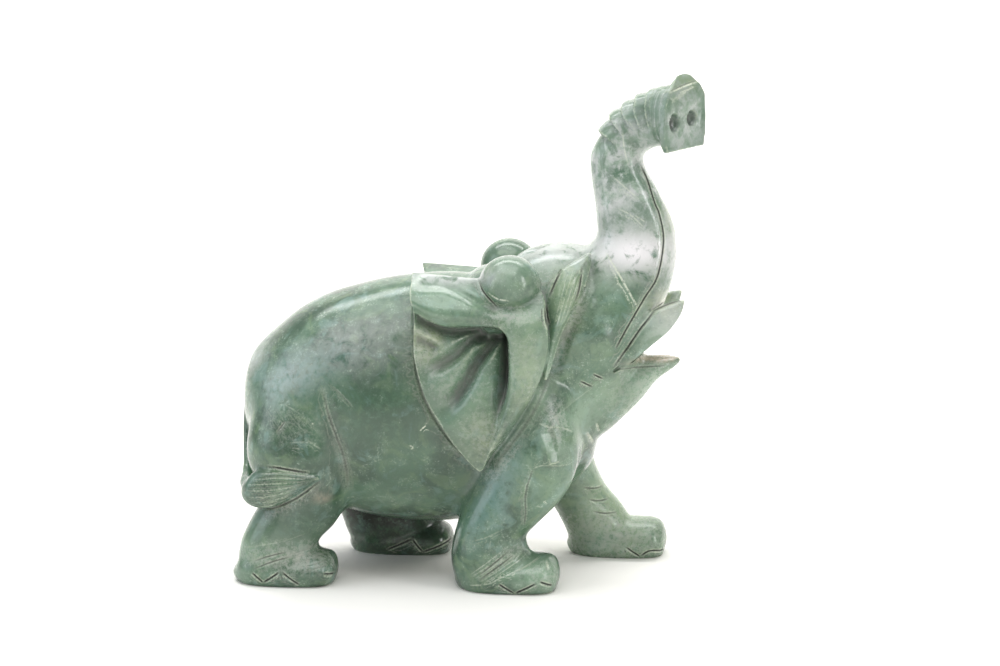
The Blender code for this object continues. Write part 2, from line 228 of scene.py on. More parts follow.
def grid_quads(rows: int, columns: int, closed: bool) -> np.ndarray:
    """Gives the quads over a grid of points that is read row by row.

    Args:
        rows: How many rows the grid has.
        columns: How many columns it has.
        closed: Whether the last column joins the first.

    Returns:
        Four point numbers for each quad.
    """
    strips = columns if closed else columns - 1
    row, column = np.meshgrid(np.arange(rows - 1), np.arange(strips), indexing="ij")
    beside = (column + 1) % columns
    here, after = row * columns, (row + 1) * columns
    return np.stack((here + column, here + beside, after + beside, after + column), -1).reshape(-1, 4)


@dataclass(frozen=True)
class Form:
    """A closed surface: its points in millimetres, and its faces as rows of point numbers."""

    points: np.ndarray
    faces: list[list[int]]

    @staticmethod
    def from_rings(rings: np.ndarray) -> Form:
        """Joins a stack of rings and closes each end with one face.

        Args:
            rings: The points, shaped (rows, columns, 3).

        Returns:
            The closed form.
        """
        rows, columns = rings.shape[:2]
        faces = grid_quads(rows, columns, True).tolist()
        faces += [list(range(columns)), list(range((rows - 1) * columns, rows * columns))]
        return Form(rings.reshape(-1, 3), faces)


@dataclass(frozen=True)
class Limb:
    """A form lofted along a curve: stations of centre, half width across and half depth in the side view."""

    stations: Stations
    square: float = 2.0

    def form(self) -> Form:
        """Carries the section along the curve.

        At each row the section is |a/half width|^n + |b/half depth|^n = 1, with a across the curve and
        level, and b square to both. n is 2 for an oval, and more for a boxier section.

        Returns:
            The closed form.
        """
        rows = spline(self.stations, STEPS)
        centre, across_half, depth_half = rows[:, :3], rows[:, 3:4], rows[:, 4:5]
        along = unit(np.gradient(centre, axis=0))
        across = unit(np.array([0, 1, 0]) - along * along[:, 1:2])
        outward = np.cross(along, across)
        angle = np.linspace(0, 2 * math.pi, RING, endpoint=False)[None, :, None]
        side, top = (np.sign(v) * np.abs(v) ** (2 / self.square) for v in (np.cos(angle), np.sin(angle)))
        across, outward = (across * across_half)[:, None], (outward * depth_half)[:, None]
        return Form.from_rings(centre[:, None] + across * side + outward * top)


@dataclass(frozen=True)
class Swell:
    """An ellipsoid."""

    centre: Point
    radii: Point

    def form(self) -> Form:
        """Sets rings of latitude: centre + radii times (cos a cos b, cos a sin b, sin a).

        Returns:
            The closed form.
        """
        a = np.linspace(-math.pi / 2, math.pi / 2, RING // 2)[1:-1, None]
        b = np.linspace(0, 2 * math.pi, RING, endpoint=False)[None, :]
        ball = np.stack([np.cos(a) * np.cos(b), np.cos(a) * np.sin(b), np.sin(a) + 0 * b], -1)
        return Form.from_rings(np.array(self.centre) + ball * np.array(self.radii))


@dataclass(frozen=True)
class Slab:
    """A flat outline carried straight to a second face."""

    outline: tuple[Point, ...]
    rise: Point

    def form(self) -> Form:
        """Joins the outline and the same outline moved by the rise."""
        lower = np.array(self.outline, float)
        return Form.from_rings(np.stack([lower, lower + np.array(self.rise)]))


@dataclass(frozen=True)
class Groove:
    """A line cut into the skin, drawn in the plane of a face of the carving."""

    route: Route
    width: float
    depth: float
    within: tuple[float, float]
    face: Face = Face.NEAR
    wear: Wear = Wear.DUST
    taper: float = 0.3
    profile: Profile = Profile.SHARP
    tint: float = 1.0

    def near(
        self, points: np.ndarray, normals: np.ndarray, margin: float
    ) -> tuple[np.ndarray, np.ndarray, np.ndarray]:
        """Finds the points beside the line, on the side of the carving that it's cut into.

        The weight grows from 0 at the line's ends to 1 over the taper, as a root, and fades where the skin
        turns away from the face.

        Args:
            points: Skin points in millimetres.
            normals: Their normals.
            margin: How far from the line to look.

        Returns:
            The numbers of the points, their distances to the line, positive on its left, and their weights.
        """
        axis, sign = self.face.value
        plane = [i for i in range(3) if i != axis]
        line = spline(self.route, 4) if len(self.route) > 2 else np.array(self.route, float)
        low, high = line.min(axis=0) - margin, line.max(axis=0) + margin
        flat = points[:, plane]
        inside = ((flat > low) & (flat < high)).all(axis=1)
        inside &= (points[:, axis] > self.within[0]) & (points[:, axis] < self.within[1])
        inside &= normals[:, axis] * sign > FACING[0]
        reached = np.flatnonzero(inside)
        distance, along, nearest = route_distance(flat[reached], line)
        step, away = np.diff(line, axis=0)[nearest], flat[reached] - line[nearest]
        left = np.sign(step[:, 0] * away[:, 1] - step[:, 1] * away[:, 0])
        ends = np.clip(np.minimum(along, 1 - along) / max(self.taper, 1e-3), 0, 1) ** 0.5
        return reached, distance * left, ends * eased(normals[reached, axis] * sign, *FACING)

    def measure(self, points: np.ndarray, normals: np.ndarray) -> tuple[np.ndarray, np.ndarray]:
        """Works out how strongly the groove acts.

        Args:
            points: Skin points in millimetres.
            normals: Their normals.

        Returns:
            The numbers of the points that it reaches, and a strength from 0 to 1 for each.
        """
        reached, away, weight = self.near(points, normals, self.width)
        share = np.clip(1 - np.abs(away) / self.width, 0, 1)
        if self.profile is Profile.SOFT:
            share = share * share * (3 - 2 * share)
        if self.profile is Profile.STEP:
            share = share**1.5 * eased(away, -0.3, 0.3)
        return reached, share * weight


def strokes(groove: Groove, *routes: Route) -> list[Groove]:
    """The same groove, cut along each of the routes."""
    return [replace(groove, route=route) for route in routes]


def hatch(first: Route, last: Route, count: int, groove: Groove) -> list[Groove]:
    """Repeats a groove in even steps.

    Args:
        first: The first line, of two points.
        last: The last line, of two points.
        count: How many lines there are, with these two.
        groove: What is cut along each.

    Returns:
        The grooves.
    """
    shares = np.linspace(0, 1, count)[:, None, None]
    lines = np.array(first) * (1 - shares) + np.array(last) * shares
    return strokes(groove, *(tuple(map(tuple, line)) for line in lines))


@dataclass(frozen=True)
class Facet:
    """A flat that the carver has cut: whatever stands above this plane within the reach is taken off."""

    point: Point
    normal: Point
    reach: float
    soft: float = 0.35

    def press(self, points: np.ndarray) -> np.ndarray:
        """Lowers points that stand above the plane.

        Height above the plane falls to zero, eased by a soft rounding, and the cut fades out over the last
        third of the reach.

        Args:
            points: Skin points in millimetres.

        Returns:
            The moved points.
        """
        normal = unit(np.array(self.normal, float))
        away = points - np.array(self.point)
        height = away @ normal
        aside = np.linalg.norm(away - height[:, None] * normal, axis=1)
        fade = (1 - eased(aside, 0.65 * self.reach, self.reach)) * (np.abs(height) < max(self.reach, 8))
        drop = self.soft * np.logaddexp(0, height / self.soft)
        return points - (drop * fade)[:, None] * normal


@dataclass(frozen=True)
class Strip:
    """A long narrow flat. The skin along it is brought down or up to one plane."""

    point: Point
    normal: Point
    run: Point
    half_length: float
    half_width: float
    depth: float

    def press(self, points: np.ndarray) -> np.ndarray:
        """Moves the points of the strip to its plane.

        The plane lies below the mean height of the skin along the strip's middle, by the depth. The cut
        fades out over a millimetre and a half round its edges.

        Args:
            points: Skin points in millimetres.

        Returns:
            The moved points.
        """
        normal = unit(np.array(self.normal, float))
        away = points - np.array(self.point)
        height = away @ normal
        aside = np.linalg.norm(away - height[:, None] * normal, axis=1)
        run = unit(np.array(self.run) - (np.array(self.run) @ normal) * normal)
        length = away @ run
        across = np.sqrt(np.maximum(aside**2 - length**2, 0))
        close = np.abs(height) < 8
        spine = (aside < 0.825 * self.half_length) & (across < 1) & close
        fade = (1 - eased(across, self.half_width - 1, self.half_width + 0.5)) * close
        fade *= 1 - eased(np.abs(length), self.half_length - 1.2, self.half_length + 0.3)
        return points - ((height - height[spine].mean() + self.depth) * fade)[:, None] * normal


@dataclass(frozen=True)
class Drift:
    """A soft-edged body of one tone inside the stone, as an ellipsoid that may lean in the side view."""

    tone: Tone
    centre: Point
    radii: Point
    strength: float
    lean: float = 0.0

    def measure(self, points: np.ndarray) -> np.ndarray:
        """Works out its strength: strength times e to the minus squared distance in radii.

        Args:
            points: Skin points in millimetres.

        Returns:
            One strength for each point.
        """
        away = points - np.array(self.centre)
        turn = math.radians(self.lean)
        x = away[:, 0] * math.cos(turn) + away[:, 2] * math.sin(turn)
        z = away[:, 2] * math.cos(turn) - away[:, 0] * math.sin(turn)
        turned = np.stack([x, away[:, 1], z], -1) / np.array(self.radii)
        return self.strength * np.exp(-(turned**2).sum(axis=1))


def drifts(tone: Tone, *rows: tuple) -> tuple[Drift, ...]:
    """Drifts of one tone, each from a row of its centre, radii, strength and, where it leans, lean."""
    return tuple(Drift(tone, *row) for row in rows)


class Skin:
    """The carving's surface as arrays, between two steps of the work."""

    def __init__(self, mesh: bpy.types.Mesh) -> None:
        """Reads a mesh.

        Args:
            mesh: A closed mesh in metres.
        """
        self.mesh = mesh
        count = len(mesh.vertices)
        points = np.empty(count * 3)
        mesh.vertices.foreach_get("co", points)
        self.points = points.reshape(-1, 3) / MM
        edges = np.empty(len(mesh.edges) * 2, int)
        mesh.edges.foreach_get("vertices", edges)
        self.edges = edges.reshape(-1, 2)
        self.links = np.bincount(self.edges.ravel(), minlength=count)

    def normals(self) -> np.ndarray:
        """Works out the normals of the points as they now are.

        Returns:
            One normal for each point.
        """
        self.write()
        found = np.empty(len(self.points) * 3)
        self.mesh.vertex_normals.foreach_get("vector", found)
        return found.reshape(-1, 3)

    def around(self, values: np.ndarray) -> np.ndarray:
        """Takes the mean over each point's neighbours.

        Args:
            values: One number for each point, or a row of them.

        Returns:
            The means, in the same shape.
        """
        first, second = self.edges.T
        columns = values.reshape(len(values), -1)
        total = np.empty_like(columns)
        for i, column in enumerate(columns.T):
            total[:, i] = np.bincount(first, column[second], len(column))
            total[:, i] += np.bincount(second, column[first], len(column))
        return (total / self.links[:, None]).reshape(values.shape)

    def ease(self, passes: int, weight: np.ndarray | float = 0.5) -> None:
        """Moves each point towards the mean of its neighbours.

        Args:
            passes: How many times.
            weight: The share of the way, for all points or for each.
        """
        weight = np.broadcast_to(weight, len(self.points))[:, None]
        for _ in range(passes):
            self.points = self.points + (self.around(self.points) - self.points) * weight

    def write(self) -> None:
        """Puts the points back into the mesh, in metres."""
        self.mesh.vertices.foreach_set("co", (self.points * MM).ravel())
        self.mesh.update()

    def mark(self, name: str, values: np.ndarray) -> None:
        """Stores values for the vertices as a mesh attribute.

        Args:
            name: The attribute's name.
            values: One number for each vertex, or three.
        """
        kind, entry = ("FLOAT", "value") if values.ndim == 1 else ("FLOAT_VECTOR", "vector")
        layer = self.mesh.attributes.new(name, kind, "POINT")
        layer.data.foreach_set(entry, values.astype(np.float32).ravel())


def placed(name: str, data: bpy.types.ID) -> bpy.types.Object:
    """Puts an object with this mesh, light or camera into the scene.

    Args:
        name: The object's name.
        data: What it shows.

    Returns:
        The object.
    """
    made = bpy.data.objects.new(name, data)
    bpy.context.scene.collection.objects.link(made)
    return made


def aim(piece: bpy.types.Object, place: Point, target: Point) -> None:
    """Moves a camera or light to a place in metres and turns it to a target."""
    piece.location = place
    piece.rotation_euler = (Vector(target) - Vector(place)).to_track_quat("-Z", "Y").to_euler()


def mesh_object(name: str, forms: list[Form]) -> bpy.types.Object:
    """Joins forms in one mesh object, each turned to face outwards.

    Args:
        name: The object's name.
        forms: Closed forms in millimetres.

    Returns:
        The object, linked to the scene.
    """
    work = bmesh.new()
    for form in forms:
        part = bpy.data.meshes.new(name)
        part.from_pydata((form.points * MM).tolist(), [], form.faces)
        shell = bmesh.new()
        shell.from_mesh(part)
        bmesh.ops.recalc_face_normals(shell, faces=shell.faces)
        shell.to_mesh(part)
        shell.free()
        work.from_mesh(part)
        bpy.data.meshes.remove(part)
    mesh = bpy.data.meshes.new(name)
    work.to_mesh(mesh)
    work.free()
    return placed(name, mesh)


def settled(source: bpy.types.Object) -> bpy.types.Mesh:
    """Makes an object's modifiers real, and removes the object.

    Args:
        source: The object.

    Returns:
        Its finished mesh.
    """
    graph = bpy.context.evaluated_depsgraph_get()
    mesh = bpy.data.meshes.new_from_object(source.evaluated_get(graph))
    bpy.data.objects.remove(source)
    return mesh


def fused(forms: list[Form], extra: bpy.types.Mesh | None, voxel: float, easing: int) -> bpy.types.Mesh:
    """Draws one skin round overlapping forms.

    Args:
        forms: The closed forms.
        extra: A mesh that is fused in too, or None.
        voxel: The spacing of the skin in millimetres.
        easing: How many smoothing passes round the places where forms meet.

    Returns:
        The skin.
    """
    whole = mesh_object("stone", forms)
    if extra is not None:
        work = bmesh.new()
        work.from_mesh(whole.data)
        work.from_mesh(extra)
        work.to_mesh(whole.data)
        work.free()
    wrap = whole.modifiers.new("wrap", "REMESH")
    wrap.mode = "VOXEL"
    wrap.voxel_size = voxel * MM
    ease = whole.modifiers.new("ease", "SMOOTH")
    ease.factor = 0.5
    ease.iterations = easing
    return settled(whole)


def pared(mesh: bpy.types.Mesh, cutter: Form) -> bpy.types.Mesh:
    """Takes a cutter's volume away from a mesh.

    Args:
        mesh: A closed mesh in metres.
        cutter: The closed form that is taken away.

    Returns:
        The cut mesh.
    """
    body = placed("body", mesh)
    tool = mesh_object("cutter", [cutter])
    step = body.modifiers.new("cut", "BOOLEAN")
    step.operation = "DIFFERENCE"
    step.solver = "EXACT"
    step.object = tool
    made = settled(body)
    bpy.data.objects.remove(tool)
    return made


@dataclass(frozen=True)
class Body:
    """The barrel of the body, with the haunches and shoulders that swell out of it."""

    torso: Stations = (
        (-108.6, 0, 82.3, 0.5, 0.5),
        (-107.5, 0, 82.3, 9, 8.8),
        (-105, 0, 82.3, 18, 19),
        (-101, 0, 82.3, 25.5, 25.6),
        (-95, 0, 82.2, 32.5, 31.8),
        (-86, 0, 82, 38.5, 39.4),
        (-75, 0, 82, 42, 46.4),
        (-62, 0, 82, 44, 52),
        (-39.5, 0, 82, 46.3, 57.6),
        (-13, 0, 83.2, 44, 59.4),
        (11, 0, 86, 38.5, 57),
        (35.5, 0, 92, 34, 51),
        (52.5, 0, 96, 27.5, 38),
        (64.5, 0, 97, 13, 18),
        (66.5, 0, 97, 0.5, 0.5),
    )
    nape: tuple[Point, Point] = ((2, 0, 119), (36, 33, 20))
    near_haunch: tuple[Point, Point] = ((-77, -20, 70), (25, 26, 31))
    far_haunch: tuple[Point, Point] = ((-77, 20, 70), (25, 26, 31))
    near_shoulder: tuple[Point, Point] = ((34.5, -28, 64), (18.5, 19.5, 22))
    far_shoulder: tuple[Point, Point] = ((36.5, 28, 67), (18.5, 19.5, 22))
    rear_web: tuple[Point, Point] = ((-95.5, 3, 57), (10.5, 12, 14))
    flank: tuple[float, float] = (-60, -8)

    def masses(self) -> list[Form]:
        """Gives the forms that are eased into one another.

        Returns:
            The barrel, then the swells.
        """
        haunches = (self.near_haunch, self.far_haunch, self.rear_web)
        swells = (self.nape, *haunches, self.near_shoulder, self.far_shoulder)
        return [Limb(self.torso).form()] + [Swell(*swell).form() for swell in swells]

    def grooves(self) -> list[Groove]:
        """Draws the groove between thigh and belly, and the creases and scratches on the thigh and flank.

        Returns:
            The grooves, in the order that they are cut.
        """
        side = self.flank
        thigh = ((-63.4, 94), (-60.9, 82.5), (-57.8, 73.2), (-54.6, 63.1), (-53.5, 53.3), (-53.8, 44.7))
        rosette = ((-84.7, 85.5), (-79.2, 88.2), (-81.5, 82.2), (-76.1, 83.6))
        centre = (-81.5, 86)
        ear_rear = ((-24.5, 138), (-22.4, 120), (-19.8, 99), (-11.8, 80.5), (0.4, 63.6), (7, 57))
        ear_front = ((13.5, 58), (22, 69.5), (30.5, 81.5), (36.5, 93), (40, 104))
        chips = (((-68.6, 77.7), (-67.6, 77.8)), ((-23.4, 68.4), (-22.4, 68.3)), ((-18.6, 75.6), (-16, 78)))
        scratch = Groove((), 0.6, 0.2, side, wear=Wear.BRUISE, tint=0.25)
        pit = Groove((), 0.5, 0.15, side, wear=Wear.BRUISE, tint=0.12)
        return [
            Groove(thigh, 5.0, 1.1, side, wear=Wear.NONE, profile=Profile.SOFT),
            Groove(thigh, 0.9, 0.5, side, wear=Wear.PAINTED_SHADE, tint=0.6),
            Groove(thigh[2:], 2.4, 0.3, side, tint=0.45),
            Groove(((-70.5, 70.5), (-64.4, 66.2)), 0.7, 0.3, side, wear=Wear.BRUISE, tint=0.3),
            *strokes(scratch, ((-79.1, 69.2), (-72, 69.6), (-65.3, 68.4)), ((-78, 67), (-71.5, 66.6))),
            Groove(((-84.4, 73.3), (-80.4, 78.8)), 0.6, 0.3, side, wear=Wear.PAINTED_SHADE, tint=0.7),
            Groove(((-61, 96.4), (-55.2, 91.9), (-48.5, 85.1)), 0.6, 0.2, side, tint=0.5),
            Groove(ear_rear, 1.2, 0.5, side, wear=Wear.PAINTED_SHADE, tint=0.5),
            Groove(ear_front, 1.2, 0.3, side, tint=0.5),
            *strokes(Groove((), 0.6, 0.4, side, wear=Wear.BRUISE, taper=0.02), *chips),
            *strokes(replace(scratch, tint=0.2), *((centre, end) for end in rosette)),
            *hatch(((-91, 84), (-80, 72)), ((-76, 84), (-66, 74)), 4, pit),
        ]


@dataclass(frozen=True)
class Leg:
    """A leg with its foot. The foot is given as heel x, toe x, middle y, half width and toe height."""

    stations: Stations
    foot: tuple[float, float, float, float, float]
    sections: tuple[tuple[float, float, float, float], ...] = (
        (0, 0.5, 0.06, 0.06),
        (0.04, 0.45, 0.55, 0.5),
        (0.2, 0.4, 0.92, 0.62),
        (0.5, 0.36, 1, 0.62),
        (0.8, 0.4, 0.97, 0.6),
        (0.94, 0.42, 0.72, 0.48),
        (1, 0.42, 0.06, 0.06),
    )

    def limb(self) -> Form:
        """The leg's loft."""
        return Limb(self.stations).form()

    def shoe(self) -> Form:
        """Lofts the foot from its heel to its rounded toes.

        Returns:
            The closed form.
        """
        heel, toe, middle, half, height = self.foot
        length = toe - heel
        rows = [(heel + a * length, middle, b * height, c * half, d * height) for a, b, c, d in self.sections]
        return Limb(tuple(rows)).form()


@dataclass(frozen=True)
class Legs:
    """The four legs in their walking places, and the marks of the chisel on them."""

    near_front: Leg = Leg(
        (
            (34, -22, 94.5, 14, 17),
            (31.5, -26, 83, 18, 18.5),
            (31.5, -29, 67, 19, 21.8),
            (28.5, -30, 55, 18.5, 21.6),
            (22.4, -30, 44, 18, 18.4),
            (13.5, -31, 31, 17, 15.7),
            (11.5, -31, 20, 16.5, 17.7),
            (12.6, -31, 12, 16, 19.2),
            (15, -31, 3, 14.5, 16.5),
        ),
        (-2.8, 44.6, -31, 16.5, 16.5),
    )
    near_rear: Leg = Leg(
        (
            (-82, -14, 92, 10, 12),
            (-80, -22, 80, 18, 20),
            (-77.5, -27, 62, 21.5, 25),
            (-73.8, -27.5, 46, 19, 19.8),
            (-75.6, -27.5, 37, 17.8, 18),
            (-80.8, -28, 30.8, 16.5, 16.2),
            (-85, -28.5, 24.5, 16, 16.4),
            (-87, -29, 17, 16, 18.6),
            (-88, -29, 10, 16, 19),
            (-87.5, -29, 4, 15.5, 18.5),
        ),
        (-107.6, -59.3, -29.5, 16, 15.5),
    )
    far_front: Leg = Leg(
        (
            (32.5, 22, 95, 14, 17),
            (34.5, 25, 79.5, 18, 21),
            (36.8, 28, 59.5, 18.5, 17.8),
            (43, 31, 42, 17, 14.8),
            (50.2, 33.5, 27, 15.5, 14),
            (57.2, 35, 16, 14.5, 15.8),
            (62.5, 35, 4.5, 14, 17),
        ),
        (45.5, 92.5, 35, 15.5, 18),
    )
    far_rear: Leg = Leg(
        (
            (-82, 14, 93, 10, 12),
            (-78, 22, 81, 18, 20),
            (-69.5, 25.5, 63, 20.5, 25),
            (-59, 27, 44.5, 17.5, 21),
            (-49, 29, 30, 15.5, 23),
            (-43, 29.5, 19, 15, 25),
            (-38.5, 29.5, 5.5, 14, 22),
        ),
        (-62.5, -11.8, 29.5, 14.5, 15),
    )
    near_side: tuple[float, float] = (-60, -20)
    far_inside: tuple[float, float] = (5, 34)
    far_side: tuple[float, float] = (30, 60)

    def all(self) -> tuple[Leg, ...]:
        """The four legs."""
        return self.near_front, self.near_rear, self.far_front, self.far_rear

    def facets(self) -> list[Facet | Strip]:
        """The flats on the near knee and toe."""
        return [
            Strip((40.9, -46, 69.2), (0.51, -0.81, 0.3), (0.19, 0, -0.98), 8, 3, 0.15),
            Facet((40.5, -43, 11), (0.62, -0.74, 0.25), 9, 0.4),
        ]

    def toenails(self) -> list[Groove]:
        """Draws the toenails of the far feet, as zigzags of straight strokes.

        Returns:
            The strokes.
        """
        nail = Groove((), 0.8, 0.85, self.near_side, wear=Wear.PAINTED_SHADE, taper=0.15)
        inner = replace(nail, within=self.far_inside)
        outer = replace(nail, within=self.far_side, face=Face.FAR)
        zigzags = (
            (inner, ((-43.5, 3), (-31, 8.8), (-26, 2.2), (-12.2, 7.6), (-10, 5))),
            (outer, ((62, 6), (69, 1), (76, 6.4), (83, 1.2), (89, 5.6))),
            (outer, ((-44, 6), (-37.5, 1), (-30.5, 6), (-24, 1.2), (-17.5, 5.6))),
        )
        return [one for cut, bends in zigzags for one in strokes(cut, *zip(bends[:-1], bends[1:]))]

    def grooves(self) -> list[Groove]:
        """Draws the near toenails, the creases and nicks, the far toenails, and the chisel's hatching.

        Returns:
            The grooves, in the order that they are cut.
        """
        near, inside = self.near_side, self.far_inside
        nail = Groove((), 0.8, 0.85, near, wear=Wear.PAINTED_SHADE, taper=0.15)
        line = Groove((), 0.7, 0.5, near, wear=Wear.PAINTED_SHADE, tint=0.7)
        step = Groove((), 3.0, 0.4, near, wear=Wear.BRUISE, tint=0.45, taper=0.12, profile=Profile.STEP)
        nick = Groove((), 0.9, 0.5, near, wear=Wear.BRUISE, tint=0.7)
        chisel = Groove((), 0.5, 0.2, near, wear=Wear.BRUISE, tint=0.4)
        knee = ((49.5, 60.6), (45.4, 60.4), (40, 61.2), (36.5, 61.2), (32.9, 59.9))
        collar = ((50.4, 74.3), (45.6, 77.3), (39.2, 78.4), (35.2, 80.2))
        seam = ((32.8, 59.6), (30.6, 52.8), (29.4, 46.5), (29.4, 39), (28.4, 32.2))
        instep = ((3.1, 3.7), (12.6, 5.6), (18.4, 8.5), (29.2, 13), (37.4, 17))
        ankle = ((-71, 26), (-82, 22.5), (-93, 20), (-103, 17.2))
        return [
            *strokes(nail, ((17.3, 5.6), (24.2, 0.8)), ((24.6, 0.8), (34.2, 6.1))),
            *strokes(nail, ((36.1, 6.9), (41.3, 4.4)), ((-97.2, 6.9), (-92.2, 2.4))),
            *strokes(nail, ((-91.8, 2.6), (-84.5, 7.6)), ((-82.9, 7.6), (-75.2, 1.7))),
            *strokes(nail, ((-64, 7), (-60.5, 5.4))),
            *strokes(
                replace(nail, within=inside),
                ((72.9, 6.2), (79.6, 1.2)),
                ((80, 1.6), (83, 3.9), (86.2, 4.4), (91.4, 3.2)),
            ),
            *strokes(
                line,
                ((-96.5, 12.3), (-88.6, 15.3), (-81.4, 17.1)),
                ((-96.1, 8.9), (-87.8, 12.5), (-79.2, 14.9)),
                ((8.5, 9.4), (15, 14.9), (21.7, 20.4)),
                ((7.9, 6.7), (16.3, 13), (23.9, 18.5)),
            ),
            *strokes(
                replace(line, within=inside),
                ((51.8, 36.2), (56, 34.9), (61, 34.4)),
                ((54.5, 29.8), (59.3, 28.5), (64, 28.5)),
                ((56.7, 23.6), (61.6, 22.3), (68, 21.9)),
            ),
            replace(step, route=knee, width=5.0, depth=0.5, tint=0.3),
            replace(step, route=collar, width=4.0, depth=0.5, tint=0.25),
            Groove(seam, 0.7, 0.4, near, tint=0.8, taper=0.1),
            *strokes(nick, ((37.4, 44), (38.8, 42)), ((38.4, 14.9), (39.8, 11.6))),
            replace(step, route=instep),
            Groove(((5, 25), (12, 27.5), (20, 31.5)), 0.6, 0.2, near, wear=Wear.BRUISE, tint=0.2),
            replace(step, route=ankle, depth=0.3, tint=0.15),
            *self.toenails(),
            *hatch(((4, 9), (19, 21)), ((10, 5.5), (30, 18)), 6, chisel),
            *hatch(((-80, 16), (-62, 19)), ((-74, 8), (-61, 11)), 5, replace(chisel, wear=Wear.DUST)),
        ]


